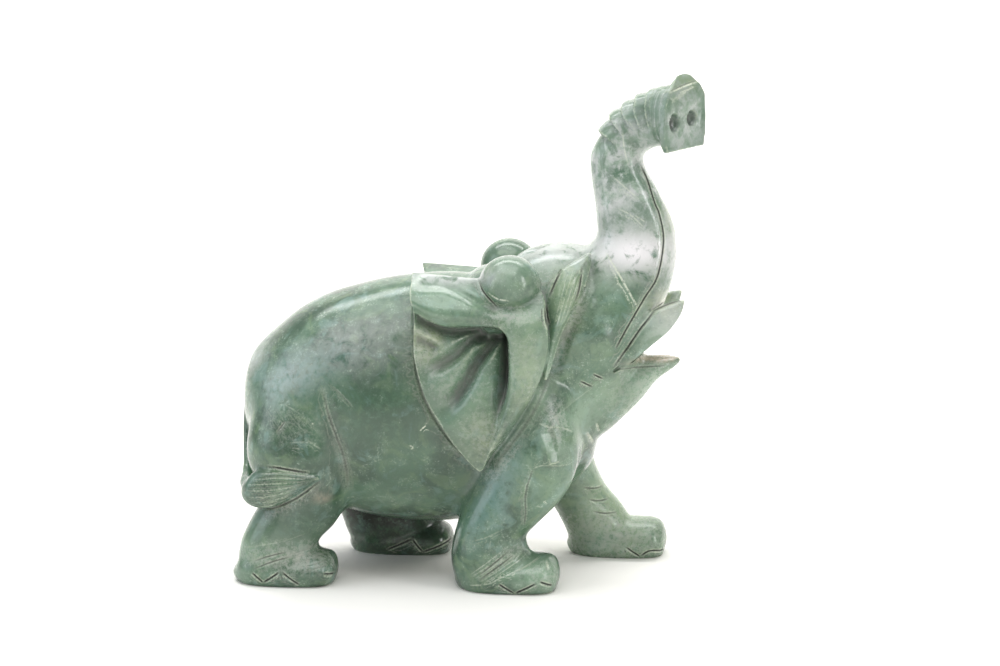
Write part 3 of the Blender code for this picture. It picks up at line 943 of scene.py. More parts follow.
@dataclass(frozen=True)
class Head:
    """The head with its jaw, cheeks, round bosses, leaf-shaped brows and tusks, and the mouth cut into it."""

    jaw: Stations = (
        (35.5, 0, 79, 27.5, 20),
        (43.5, 0, 81, 27.5, 22),
        (57.5, 0, 86, 22, 19.2),
        (71.5, 0, 91.6, 17, 12.6),
        (83.5, 0, 98, 12, 6.6),
        (93, 0, 101.3, 7, 3.4),
        (98.5, 0, 103, 1.5, 1.0),
    )
    forehead: tuple[Point, Point] = ((42, 0, 128), (33, 33, 29))
    near_cheek: tuple[Point, Point] = ((52, -15, 116), (22, 17, 26))
    far_cheek: tuple[Point, Point] = ((51, 15, 117), (22, 17, 26))
    near_boss: tuple[Point, Point] = ((21, -33, 141.2), (14, 14, 13.4))
    far_boss: tuple[Point, Point] = ((15, 31, 141.6), (14, 14, 13.4))
    brow: Stations = (
        (56.6, -20.5, 154.5, 1.0, 1.0),
        (53.6, -24, 149.8, 3.6, 4.0),
        (48.9, -28.5, 143, 5.2, 7.0),
        (45.5, -31.5, 136, 5.4, 7.2),
        (43.1, -33.5, 128.5, 5.0, 5.8),
        (41.4, -36, 120, 4.4, 3.5),
        (39.7, -38, 110, 3.6, 2.3),
        (37.6, -39, 99, 1.5, 1.1),
    )
    near_tusk: Stations = (
        (66, -17, 100, 4, 3),
        (73, -18.5, 107.5, 4.5, 4.5),
        (81, -19, 116.5, 5, 6),
        (89, -19.5, 124, 4.5, 6.2),
        (95.5, -20, 129.5, 3, 3.8),
        (99.5, -20, 133.5, 0.5, 0.5),
    )
    far_tusk: Stations = (
        (65.5, 16, 100.5, 4, 3),
        (72.5, 17, 108, 4.5, 4.5),
        (80.5, 17.5, 116, 5, 6),
        (88.5, 18, 123.5, 4.5, 6.2),
        (94, 18, 129, 3, 3.8),
        (98, 18, 132.5, 0.5, 0.5),
    )
    mouth: Route = ((64, 98), (80, 111.5), (104, 113.5), (104, 103.0), (98.3, 103.4), (81.2, 106.2))
    brow_square: float = 1.25
    tusk_square: float = 1.5
    mouth_half: float = 26.0
    near_side: tuple[float, float] = (-60, -4)

    def masses(self) -> list[Form]:
        """The forms that are eased into the body."""
        swells = (self.forehead, self.near_cheek, self.far_cheek)
        return [Limb(self.jaw).form()] + [Swell(*swell).form() for swell in swells]

    def mouth_cutter(self) -> Form:
        """The wedge that opens the mouth, right across the jaw."""
        outline = tuple((x, -self.mouth_half, z) for x, z in self.mouth)
        return Slab(outline, (0, 2 * self.mouth_half, 0)).form()

    def details(self) -> list[Form]:
        """Gives the parts that keep their edges.

        Returns:
            The bosses, the brows and the tusks.
        """
        far_brow = tuple((x, 0.85 - y, z - 3, a, b) for x, y, z, a, b in self.brow)
        bosses = [Swell(*boss).form() for boss in (self.near_boss, self.far_boss)]
        brows = [Limb(brow, self.brow_square).form() for brow in (self.brow, far_brow)]
        tusks = [Limb(tusk, self.tusk_square).form() for tusk in (self.near_tusk, self.far_tusk)]
        return bosses + brows + tusks

    def grooves(self) -> list[Groove]:
        """Draws the eye slits, the veins of the brow leaf, the lip seam, the jowl, nicks and scratches.

        Returns:
            The grooves, in the order that they are cut.
        """
        side = self.near_side
        slit = Groove((), 0.7, 0.6, side, wear=Wear.PAINTED_SHADE)
        bruise = Groove((), 0.8, 0.3, side, wear=Wear.BRUISE, tint=0.8)
        vein = Groove((), 0.5, 0.2, side, wear=Wear.BRUISE, tint=0.3)
        behind_brow = ((58, 151), (56.5, 141), (52, 130), (46.8, 118), (43.5, 108), (40.5, 99))
        lip = ((87.5, 131), (83.4, 125), (79.4, 119.8), (73.6, 111), (67.5, 102.5))
        jowl = ((63.6, 97.5), (57.5, 92.9), (48.6, 86.5), (37.4, 79.6), (31.4, 75))
        return [
            replace(slit, route=((43.8, 147.4), (41.2, 141.8), (38.9, 135.9)), width=0.8, depth=0.9),
            replace(slit, route=((37.7, 133), (38.2, 128.3), (39.4, 123.8)), depth=0.8),
            replace(slit, route=((53.4, 149.5), (52.8, 142.8), (51.9, 137.9), (50.4, 133.6))),
            Groove(behind_brow, 4.2, 1.5, side, tint=0.0, profile=Profile.SOFT),
            *hatch(((47.6, 148.6), (41.5, 124)), ((53.5, 148), (45.6, 124)), 4, vein),
            *strokes(slit, ((58.4, 100.1), (63.3, 97.4)), ((52.6, 97), (58.4, 93.8))),
            replace(bruise, route=((63.4, 154.7), (70, 144.8), (79.2, 128.8))),
            replace(slit, route=((68.6, 101.6), (79.3, 100.6), (91.6, 101)), width=0.6, depth=0.4, tint=0.6),
            replace(slit, route=lip, width=0.8, depth=0.8),
            Groove(jowl, 1.2, 0.2, side, wear=Wear.BRUISE, tint=0.15, profile=Profile.SOFT),
            replace(slit, route=((84.2, 127.6), (91, 131), (98.6, 133.8)), tint=0.8),
            replace(bruise, route=((59.9, 75.5), (61, 70.2)), width=1.0, depth=0.6, tint=0.7),
            replace(bruise, route=((55.6, 71.8), (58.3, 64.4)), width=1.1, depth=0.7, tint=0.7),
            replace(slit, route=((7.7, 143.3), (9.2, 140), (11.5, 137.3), (16.5, 132.4))),
            replace(bruise, route=((11.9, 139.2), (16.7, 136.5), (21.9, 135.7)), width=0.7, depth=0.2),
        ]


@dataclass(frozen=True)
class Trunk:
    """The raised trunk from the forehead to its flat end plate, with the folds and rings of its skin."""

    stations: Stations = (
        (1, 0, 101, 31, 38),
        (11, 0, 102.5, 33, 43),
        (29.5, 0, 106.5, 33, 44),
        (47.5, 0, 115.5, 31, 37),
        (61.5, 0, 129.5, 27, 27.5),
        (73, 0, 145.5, 22, 21.8),
        (76.5, 0, 159.5, 18.5, 18.8),
        (73, 0, 174.5, 16.5, 15.5),
        (68.5, 0, 188.5, 15, 12.8),
        (67.5, -0.5, 198, 14, 12),
        (71.5, -1.5, 207, 13.5, 12.3),
        (79.5, -4, 213, 13.5, 12.6),
        (88.5, -8, 216, 13.5, 13.6),
        (95.5, -13, 216.5, 13.5, 14),
    )
    square: float = 2.5
    folds: tuple[float, ...] = (7.2, 10.6, 16.3, 22.0, 27.6, 33.2, 40.5)
    fold_pitch: float = 0.36
    fold_waver: tuple[float, float] = (7.0, 0.5)
    fold_facing: tuple[float, float] = (-0.75, 0.66)
    end_corner: tuple[float, float] = (50.0, 178.0)
    past_end: float = 60.0
    plate_middle: tuple[float, float] = (96.5, -11.5)
    plate_turn: float = 37.0
    plate_thickness: float = 3.0
    plate_slant: float = 0.065
    plate_outline: Route = (
        (-12.5, 200.9),
        (-14.4, 203.7),
        (-15.6, 210),
        (-15.2, 220.5),
        (-11.8, 228.6),
        (-7.5, 231.9),
        (-3.2, 234.8),
        (1.9, 235.6),
        (6.2, 234.7),
        (11.3, 229.5),
        (14.7, 224.7),
        (15.2, 215.6),
        (15.2, 206.5),
        (13.9, 201.5),
    )
    nostrils: tuple[tuple[float, float, float, float], ...] = (
        (-7.9, 213.9, 3.9, 4.4),
        (4.7, 214.8, 3.8, 3.8),
    )
    nostril_depth: float = 3.4
    plate_cut: Point = (98.3, -14.0, 229.6)
    plate_cut_slope: float = 0.55
    near_side: tuple[float, float] = (-40, 2)

    def masses(self) -> list[Form]:
        """The trunk and the head that it grows out of, in one loft."""
        return [Limb(self.stations, self.square).form()]

    def plate_point(self, w: float, z: float, forward: float) -> Point:
        """A point of the end plate: w along its width, at a height, so far in front of its back face."""
        turn = math.radians(self.plate_turn)
        return (
            self.plate_middle[0] + w * math.sin(turn) + forward * math.cos(turn),
            self.plate_middle[1] + w * math.cos(turn) - forward * math.sin(turn),
            z + self.plate_slant * w,
        )

    def plate_axes(self) -> tuple[np.ndarray, np.ndarray]:
        """The end plate's outward normal, and the direction along its width."""
        turn = math.radians(self.plate_turn)
        return np.array([math.cos(turn), -math.sin(turn), 0]), np.array([math.sin(turn), math.cos(turn), 0])

    def details(self) -> list[Form]:
        """The end plate."""
        outline = tuple(self.plate_point(w, z, 0) for w, z in self.plate_outline)
        return [Slab(outline, tuple(self.plate_axes()[0] * self.plate_thickness)).form()]

    def facets(self) -> list[Facet]:
        """The slanting cut across the top of the end plate."""
        normal = self.plate_axes()[0] + np.array([0, 0, self.plate_cut_slope])
        return [Facet(self.plate_cut, tuple(normal), 15, 0.2)]

    def nostril_share(self, points: np.ndarray) -> np.ndarray:
        """Measures how far into a nostril each point lies.

        A nostril is an oval in the plate's face, at w and z with its two radii. With r the distance from
        its middle in radii, the share is the root of 1 - r^2, and it is nothing outside or away from the
        face.

        Args:
            points: Skin points in millimetres.

        Returns:
            Shares from 0 at the edge to 1 in the middle.
        """
        normal, across = self.plate_axes()
        share = np.zeros(len(points))
        for w, z, half_width, half_height in self.nostrils:
            away = points - np.array(self.plate_point(w, z, self.plate_thickness))
            height = away @ normal
            squared = ((away @ across) / half_width) ** 2 + (away[:, 2] / half_height) ** 2
            near = (height < 1.2) & (height > -self.nostril_depth - 1)
            share = np.maximum(share, np.sqrt(np.clip(1 - squared, 0, 1)) * near)
        return share

    def back(self, points: np.ndarray) -> tuple[np.ndarray, np.ndarray]:
        """Measures points against the raised end of the trunk.

        Args:
            points: Skin points in millimetres.

        Returns:
            How far back from the plate each lies along the middle line, or further off the trunk's end, and
            how much it faces the trunk's back, from 0 on the underside to 1.
        """
        middle = spline(self.stations[7:], 12)[:, :3]
        away, behind = np.full(len(points), self.past_end), np.zeros(len(points))
        reach = np.flatnonzero((points[:, [0, 2]] > self.end_corner).all(axis=1))
        _, along, _ = route_distance(points[reach], middle)
        away[reach] = (1 - along) * np.linalg.norm(np.diff(middle, axis=0), axis=1).sum()
        nearest = np.minimum((along * (len(middle) - 1)).round().astype(int), len(middle) - 1)
        outward = unit(points[reach] - middle[nearest])
        rearward, upward = self.fold_facing
        behind[reach] = eased(rearward * outward[:, 0] + upward * outward[:, 2], -0.15, 0.6)
        return away, behind

    def fold_cut(self, points: np.ndarray) -> np.ndarray:
        """Gives the depth of the overlapping folds on the trunk's back.

        From one fold's edge to the next the skin rises in a straight line, and it drops at the edge, as
        roof tiles do. The drop is a share of the fold's length.

        Args:
            points: Skin points in millimetres.

        Returns:
            How far each point sinks.
        """
        away, behind = self.back(points)
        size, sway = self.fold_waver
        away = away + lattice_noise(points, size, 11) * sway
        deep = np.zeros(len(points))
        for start, end in zip(self.folds[:-1], self.folds[1:]):
            share = np.clip((end - away) / (end - start), 0, 1) * (away > start)
            deep = np.maximum(deep, share**1.2 * (end - start) * self.fold_pitch)
        return deep * behind

    def grooves(self) -> list[Groove]:
        """Draws the line along the underside's edge, the scratches, and the creases between the folds.

        Returns:
            The grooves, in the order that they are cut.
        """
        side = self.near_side
        rim = (
            (78.6, 193.4),
            (81.9, 186.5),
            (85.3, 176.7),
            (87.6, 171.2),
            (89.6, 159.9),
            (87.1, 143.8),
            (81.4, 134.2),
            (73.5, 120.4),
            (68.7, 111.4),
        )
        scratch = Groove((), 0.6, 0.25, side, wear=Wear.BRUISE, tint=0.5)
        crease = Groove((), 3.0, 0.9, side, wear=Wear.NONE, profile=Profile.SOFT)
        return [
            Groove(rim, 0.7, 0.8, (-40, -3), wear=Wear.PAINTED_SHADE, taper=0.05),
            *strokes(
                scratch,
                ((68.8, 174.5), (74.6, 171.6), (80.9, 166)),
                ((66, 189.2), (71.7, 184.2), (78.1, 178.9)),
                ((70.5, 209.1), (71.4, 201), (73.2, 193.9)),
                ((76.5, 171.5), (81.8, 168.2)),
            ),
            Groove(((91.5, 227), (98, 229.6), (104.2, 231.4)), 0.7, 0.3, side, wear=Wear.BRUISE),
            Groove(((92.2, 228), (98, 230.4), (103.6, 232.2)), 0.5, 0.3, side, tint=0.8),
            *strokes(crease, ((58, 196), (61, 186), (63.5, 176)), ((68, 206), (70.5, 198), (72, 190))),
            *strokes(crease, ((72.5, 213.5), (75.5, 205), (77, 198.5))),
        ]


@dataclass(frozen=True)
class Flute:
    """A valley in the ear's shell: its route outwards, its depth, and its half widths behind and in front."""

    route: Route
    depth: float
    rear: float
    front: float
    ends: tuple[float, float] = (0.2, 0.7)

    def cut(self, x: np.ndarray, z: np.ndarray) -> np.ndarray:
        """Works out how deep the valley is.

        Across the route it is a bell curve, with a half width of its own on each side, and it grows wider
        outwards. Along the route it sinks in at the first end and rises out at the second.

        Args:
            x: Places along the carving.
            z: Heights.

        Returns:
            The depth in millimetres.
        """
        line = spline(self.route, 6)
        points = np.stack([x.ravel(), z.ravel()], -1)
        distance, along, nearest = route_distance(points, line)
        step = np.diff(line, axis=0)[nearest]
        away = points - line[nearest]
        behind = step[:, 0] * away[:, 1] - step[:, 1] * away[:, 0] < 0
        width = np.where(behind, self.rear, self.front) * (0.6 + 0.5 * along)
        run = eased(along, 0, self.ends[0]) * (1 - eased(along, self.ends[1], 1))
        return (self.depth * np.exp(-((distance / width) ** 2)) * run).reshape(x.shape)


@dataclass(frozen=True)
class Ear:
    """An ear: a fluted shell hung between a thick fold along its top and a thick rim along its front."""

    far: bool = False
    far_shift: tuple[float, float] = (-4.5, -4.0)
    edges: tuple[tuple[float, float, float, float], ...] = (
        (-23.5, 146.5, 30.5, 142.5),
        (-22.5, 138, 36.5, 137.5),
        (-21, 130, 38.5, 130.5),
        (-21, 120, 39.5, 120.5),
        (-21, 110.5, 39, 111),
        (-18.5, 99.5, 36, 100.5),
        (-15.5, 90.5, 32, 91.5),
        (-10.5, 81.5, 26.5, 82.5),
        (-4.5, 72, 20.5, 73.5),
        (1.5, 64.5, 14.5, 65.5),
        (7, 59, 11, 59.5),
        (9, 57.5, 9.5, 58),
    )
    columns: int = 150
    undercut: float = 0.9
    middle: Point = (9.0, 0.0, 108.0)
    root: float = 20.0
    shell: float = 40.5
    shell_rise: float = 7.6
    shell_reach: float = 44.0
    fan_centre: tuple[float, float] = (17.8, 124.7)
    flutes: tuple[Flute, ...] = (
        Flute(
            ((20.5, 121), (21.4, 112), (21.6, 103), (21, 94), (19.2, 86), (15.8, 76)),
            *(9.4, 5.6, 2.6, (0.04, 0.45)),
        ),
        Flute(
            ((17.5, 119), (12.4, 113), (7.2, 106.4), (2.4, 97.5), (-3.2, 89), (-10, 80)),
            *(6, 4.6, 3.2, (0.05, 0.65)),
        ),
        Flute(
            ((12, 120), (3.7, 116.4), (-1.4, 111.3), (-7.5, 107), (-12.8, 104.5), (-21, 101.6)),
            *(5, 4.2, 3.6, (0.05, 0.65)),
        ),
        Flute(
            ((10, 121.5), (-1, 120.8), (-6.3, 121.3), (-12.1, 124), (-22, 129.3)),
            *(6, 3.2, 3.4, (0.05, 0.98)),
        ),
        Flute(((21, 118), (12, 117.6), (1, 118.6)), 5.4, 3.4, 3.4, (0.03, 0.55)),
        Flute(((-7, 112.8), (-13.1, 114.4), (-16.3, 116), (-23, 118.6)), 3.6, 2.8, 2.6, (0.4, 0.95)),
    )
    corner_round: float = 7.0
    flute_floor: float = 9.4
    rim: float = 51.0
    rim_starts: tuple[tuple[float, float], tuple[float, float]] = ((0.70, 120.0), (0.77, 86.0))
    rim_front: tuple[float, float] = (6.0, 0.65)
    rim_inner: tuple[float, float] = (2.5, 0.3)
    rim_tip: Point = (3.0, 76.0, 58.0)
    lip: tuple[float, float, float, float] = (123.8, 6.4, -3.0, 17.0)
    fold_top: float = 147.0
    lip_round: tuple[float, float] = (3.0, 0.22)
    fold_slope: Point = (19.0, 0.25, 1.5)
    fold_crease: tuple[float, float, float, float] = (141.6, 11.5, 1.7, 1.8)
    crease_ends: tuple[tuple[float, float], tuple[float, float]] = ((-22.0, -14.0), (14.0, 20.0))
    corner_x: tuple[float, float] = (8.0, 20.0)
    corner_z: tuple[float, float] = (112.0, 136.0)
    corner_fall: float = 8.0

    def rim_start(self, z: np.ndarray) -> np.ndarray:
        """Where the rim starts, as a share of the ear's width from its rear edge."""
        (upper, high), (lower, low) = self.rim_starts
        return upper + (lower - upper) * eased(-z, -high, -low)

    def lip_height(self, x: np.ndarray) -> np.ndarray:
        """The height of the fold's lip, which lifts as a square towards the rear."""
        height, lift, start, length = self.lip
        return height + lift * np.clip((start - x) / length, 0, 1.2) ** 2

    def pocket(self, x: np.ndarray, z: np.ndarray, u: np.ndarray, width: np.ndarray) -> np.ndarray:
        """Measures how far inside the hollow below the fold and behind the rim each place lies.

        With a the height below the lip and b the distance behind the rim's wall, it is a radius r less the
        length of (r - a, r - b), neither below 0, which rounds the corner between lip and wall.

        Args:
            x: Places along the carving.
            z: Heights.
            u: Shares of the way from the rear edge to the front edge.
            width: The ear's width there.

        Returns:
            Distances in millimetres, negative on the fold and the rim.
        """
        below, behind = self.lip_height(x) - z, (self.rim_start(z) - u) * width
        r = self.corner_round
        return r - np.hypot(np.maximum(r - below, 0), np.maximum(r - behind, 0))

    def flute_cut(self, points: np.ndarray) -> np.ndarray:
        """Works out how far the skin sinks in this ear's flutes: the root of the sum of their squared depths.

        Args:
            points: Skin points in millimetres.

        Returns:
            One depth for each point, which is nothing outside the ear's hollow.
        """
        side = 1 if self.far else -1
        place = points - np.array([self.far_shift[0], 0, self.far_shift[1]]) * self.far
        x, z = place[:, 0], place[:, 2]
        rows = spline(self.edges, STEPS)[::-1]
        rear, front = np.interp(z, rows[:, 1], rows[:, 0]), np.interp(z, rows[:, 3], rows[:, 2])
        width = np.maximum(front - rear, 1.0)
        inside = self.pocket(x, z, (x - rear) / width, width)
        fits = (side * place[:, 1] > self.root + 8) & (z > rows[0, 1]) & (inside > 0)
        near = np.flatnonzero(fits & (x > rear) & (x < front))
        x, z = x[near], z[near]
        deep = np.zeros(len(points))
        deepest = np.minimum(np.sqrt(sum(flute.cut(x, z) ** 2 for flute in self.flutes)), self.flute_floor)
        deep[near] = deepest * eased(inside[near], 0, 1.6) * eased(x - rear[near], 0, 1.5)
        return deep

    def relief(self, x: np.ndarray, z: np.ndarray, u: np.ndarray, width: np.ndarray) -> np.ndarray:
        """Works out how far the ear stands out from the middle plane, before its flutes are cut.

        The shell rises slowly away from the fan's centre. The rim and the fold are level bands with rounded
        sides that take over from it outside the pocket.

        Args:
            x: Places along the carving.
            z: Heights.
            u: Shares of the way from the rear edge to the front edge.
            width: The ear's width there.

        Returns:
            Distances in millimetres.
        """
        reach = np.hypot(self.fan_centre[0] - x, self.fan_centre[1] - z)
        shell = self.shell + self.shell_rise * eased(reach, 0, self.shell_reach)
        start = self.rim_start(z)
        t = (u - start) / (1 - start)
        front = np.clip((t - 1 + self.rim_front[1]) / self.rim_front[1], 0, 1)
        inner = np.clip((self.rim_inner[1] - t) / self.rim_inner[1], 0, 1)
        fall, high, low = self.rim_tip
        rim = self.rim - self.rim_front[0] * front**2 - self.rim_inner[0] * inner**2
        rim = rim - fall * eased(-z, -high, -low)
        lip = self.lip_height(x)
        lift = np.clip((z - lip) / (self.fold_top - lip), 0, 1)
        corner = eased(x, *self.corner_x)
        fold = self.rim - self.lip_round[0] * (1 - eased(lift, 0, self.lip_round[1])) * (1 - corner)
        slope, slope_start, power = self.fold_slope
        fold -= slope * np.clip((lift - slope_start) / (1 - slope_start), 0, 1) ** power
        height, drop, depth, spread = self.fold_crease
        (rear, rear_full), (front_full, front_end) = self.crease_ends
        crease = height - drop * eased(x, rear_full + 2, front_end + 1)
        ends = eased(x, rear, rear_full) * (1 - eased(x, front_full, front_end))
        fold -= depth * np.exp(-(((z - crease) / spread) ** 2)) * ends
        fold -= self.corner_fall * eased(x, 0, self.corner_x[1]) * eased(z, 120, self.corner_z[1])
        above = z - lip
        mix = eased(above, -0.5, 0.8) * (1 - corner) + eased(z, *self.corner_z) * corner
        solid = rim + (fold - rim) * mix
        return shell + (solid - shell) * (1 - eased(self.pocket(x, z, u, width), -0.8, 1.2))

    def form(self) -> Form:
        """Lays the relief over the ear's outline and closes it with an undercut root inside the body.

        Returns:
            The closed form.
        """
        rows = spline(self.edges, STEPS)
        u = np.linspace(0, 1, self.columns)[None, :]
        x = rows[:, 0:1] + (rows[:, 2:3] - rows[:, 0:1]) * u
        z = rows[:, 1:2] + (rows[:, 3:4] - rows[:, 1:2]) * u
        side = 1 if self.far else -1
        width = rows[:, 2:3] - rows[:, 0:1]
        face = np.stack([x, side * self.relief(x, z, u + 0 * x, width), z], -1)
        middle = np.array(self.middle)
        root = middle + (face - middle) * self.undercut
        root[..., 1] = side * self.root
        points = np.concatenate([face, root]).reshape(-1, 3)
        if self.far:
            points += np.array([self.far_shift[0], 0, self.far_shift[1]])
        count, columns = len(rows), self.columns
        other = count * columns
        sheet = grid_quads(count, columns, False)
        numbers = np.arange(other).reshape(count, columns)
        edge = np.concatenate([numbers[0], numbers[1:, -1], numbers[-1, -2::-1], numbers[-2:0:-1, 0]])
        after = np.roll(edge, -1)
        wall = np.stack([edge, after, after + other, edge + other], -1)
        return Form(points, np.concatenate([sheet, sheet + other, wall]).tolist())


@dataclass(frozen=True)
class Tail:
    """The tail on the rump, and its tuft laid round the near haunch."""

    stations: Stations = (
        (-99, -0.5, 95, 3, 1.5),
        (-103.6, -1, 90, 3.5, 2),
        (-105.4, -2.5, 82, 4.5, 2.6),
        (-106.1, -4.5, 70, 5, 2.5),
        (-105.4, -8, 59, 5.5, 2.5),
        (-103.6, -14, 50.5, 5.5, 3),
        (-101.8, -22, 47, 5, 3.4),
        (-100, -31, 46, 5, 4),
        (-98, -38, 46, 4, 4),
    )
    tuft: Stations = (
        (-99.6, -37, 46.5, 4, 5),
        (-95.5, -41, 45.6, 6, 8.2),
        (-88, -43.5, 47.6, 6, 9.4),
        (-79.5, -45, 49.8, 5, 6.8),
        (-72, -46, 51.8, 3.8, 3.6),
        (-65, -46.5, 53, 1, 0.8),
    )
    hairs: tuple[Route, ...] = (
        ((-92, 54.4), (-83, 55.4), (-74.8, 54.9), (-67, 53.8)),
        ((-95.6, 51.7), (-85.5, 53), (-76, 53.2), (-68.9, 53.3)),
        ((-98.1, 49.2), (-87, 50.4), (-77.5, 51.2), (-70, 52.3)),
        ((-98.3, 46.4), (-88, 47.4), (-79, 48.9), (-71.5, 51.1)),
        ((-98.4, 43.2), (-89, 44.3), (-80.5, 46.4), (-73.5, 49.6)),
        ((-97, 40.4), (-89.5, 41.5), (-82, 43.9), (-76, 47.2)),
        ((-95, 38.4), (-89.5, 39), (-84.5, 41)),
    )

    def details(self) -> list[Form]:
        """The tail and the tuft."""
        return [Limb(self.stations).form(), Limb(self.tuft).form()]

    def grooves(self) -> list[Groove]:
        """Draws the tuft's hairs, the finer hairs between them, and the lines above and below it.

        Returns:
            The grooves, in the order that they are cut.
        """
        side = (-60, -36)
        hairs = strokes(Groove((), 0.6, 0.35, side, wear=Wear.BRUISE, tint=0.4), *self.hairs)
        between = (tuple((x, z - 1.4) for x, z in hair) for hair in self.hairs)
        fine = strokes(Groove((), 0.5, 0.25, side, tint=0.5), *between)
        edge = Groove(((-89, 57.6), (-82, 57.4), (-68.9, 55.4)), 0.9, 0.8, side, wear=Wear.PAINTED_SHADE)
        low = ((-92.5, 36.2), (-84, 38.6), (-74, 44.2), (-64, 52))
        return hairs + fine + [edge, Groove(low, 0.8, 0.8, side, wear=Wear.PAINTED_SHADE, tint=0.8)]


def linear(code: str) -> tuple[float, float, float, float]:
    """Turns an sRGB hex colour to linear light, as each channel's power of 2.4 above the straight foot."""
    channels = [int(code[i : i + 2], 16) / 255 for i in (1, 3, 5)]
    return (*[c / 12.92 if c <= 0.04045 else ((c + 0.055) / 1.055) ** 2.4 for c in channels], 1.0)


def add(
    tree: bpy.types.NodeTree, kind: str, values: dict | None = None, **settings: object
) -> bpy.types.Node:
    """Adds a node with its settings and links.

    Args:
        tree: The node tree.
        kind: The node's type.
        values: For each input, a number or colour, or the socket that feeds it.
        **settings: Properties of the node.

    Returns:
        The node.
    """
    node = tree.nodes.new(kind)
    for name, value in settings.items():
        setattr(node, name, value)
    for name, value in (values or {}).items():
        socket = node.inputs[name]
        if isinstance(value, bpy.types.NodeSocket):
            tree.links.new(value, socket)
        else:
            socket.default_value = value
    return node


def blank(name: str) -> bpy.types.Material:
    """Makes a material with no nodes yet.

    Args:
        name: The finish.

    Returns:
        The material.
    """
    made = bpy.data.materials.new(name)
    made.use_nodes = True
    made.node_tree.nodes.clear()
    return made


@dataclass(frozen=True)
class Grain:
    """A pattern in the stone: its name, its features' width in millimetres, and its noise's settings."""

    name: str
    size: float
    detail: float
    roughness: float
    twist: float = 0.0


@dataclass(frozen=True)
class Cover:
    """Where a layer lies, as the product of these.

    Marks count as they are. A range is a pattern that counts nothing at its first number, and its last
    number at its second. The strength is the same all over.
    """

    marks: tuple[str, ...] = ()
    ranges: tuple[tuple[str, float, float, float], ...] = ()
    strength: float = 1.0


Layers = tuple[tuple[str, Cover], ...]
Sockets = dict[str, bpy.types.NodeSocket]


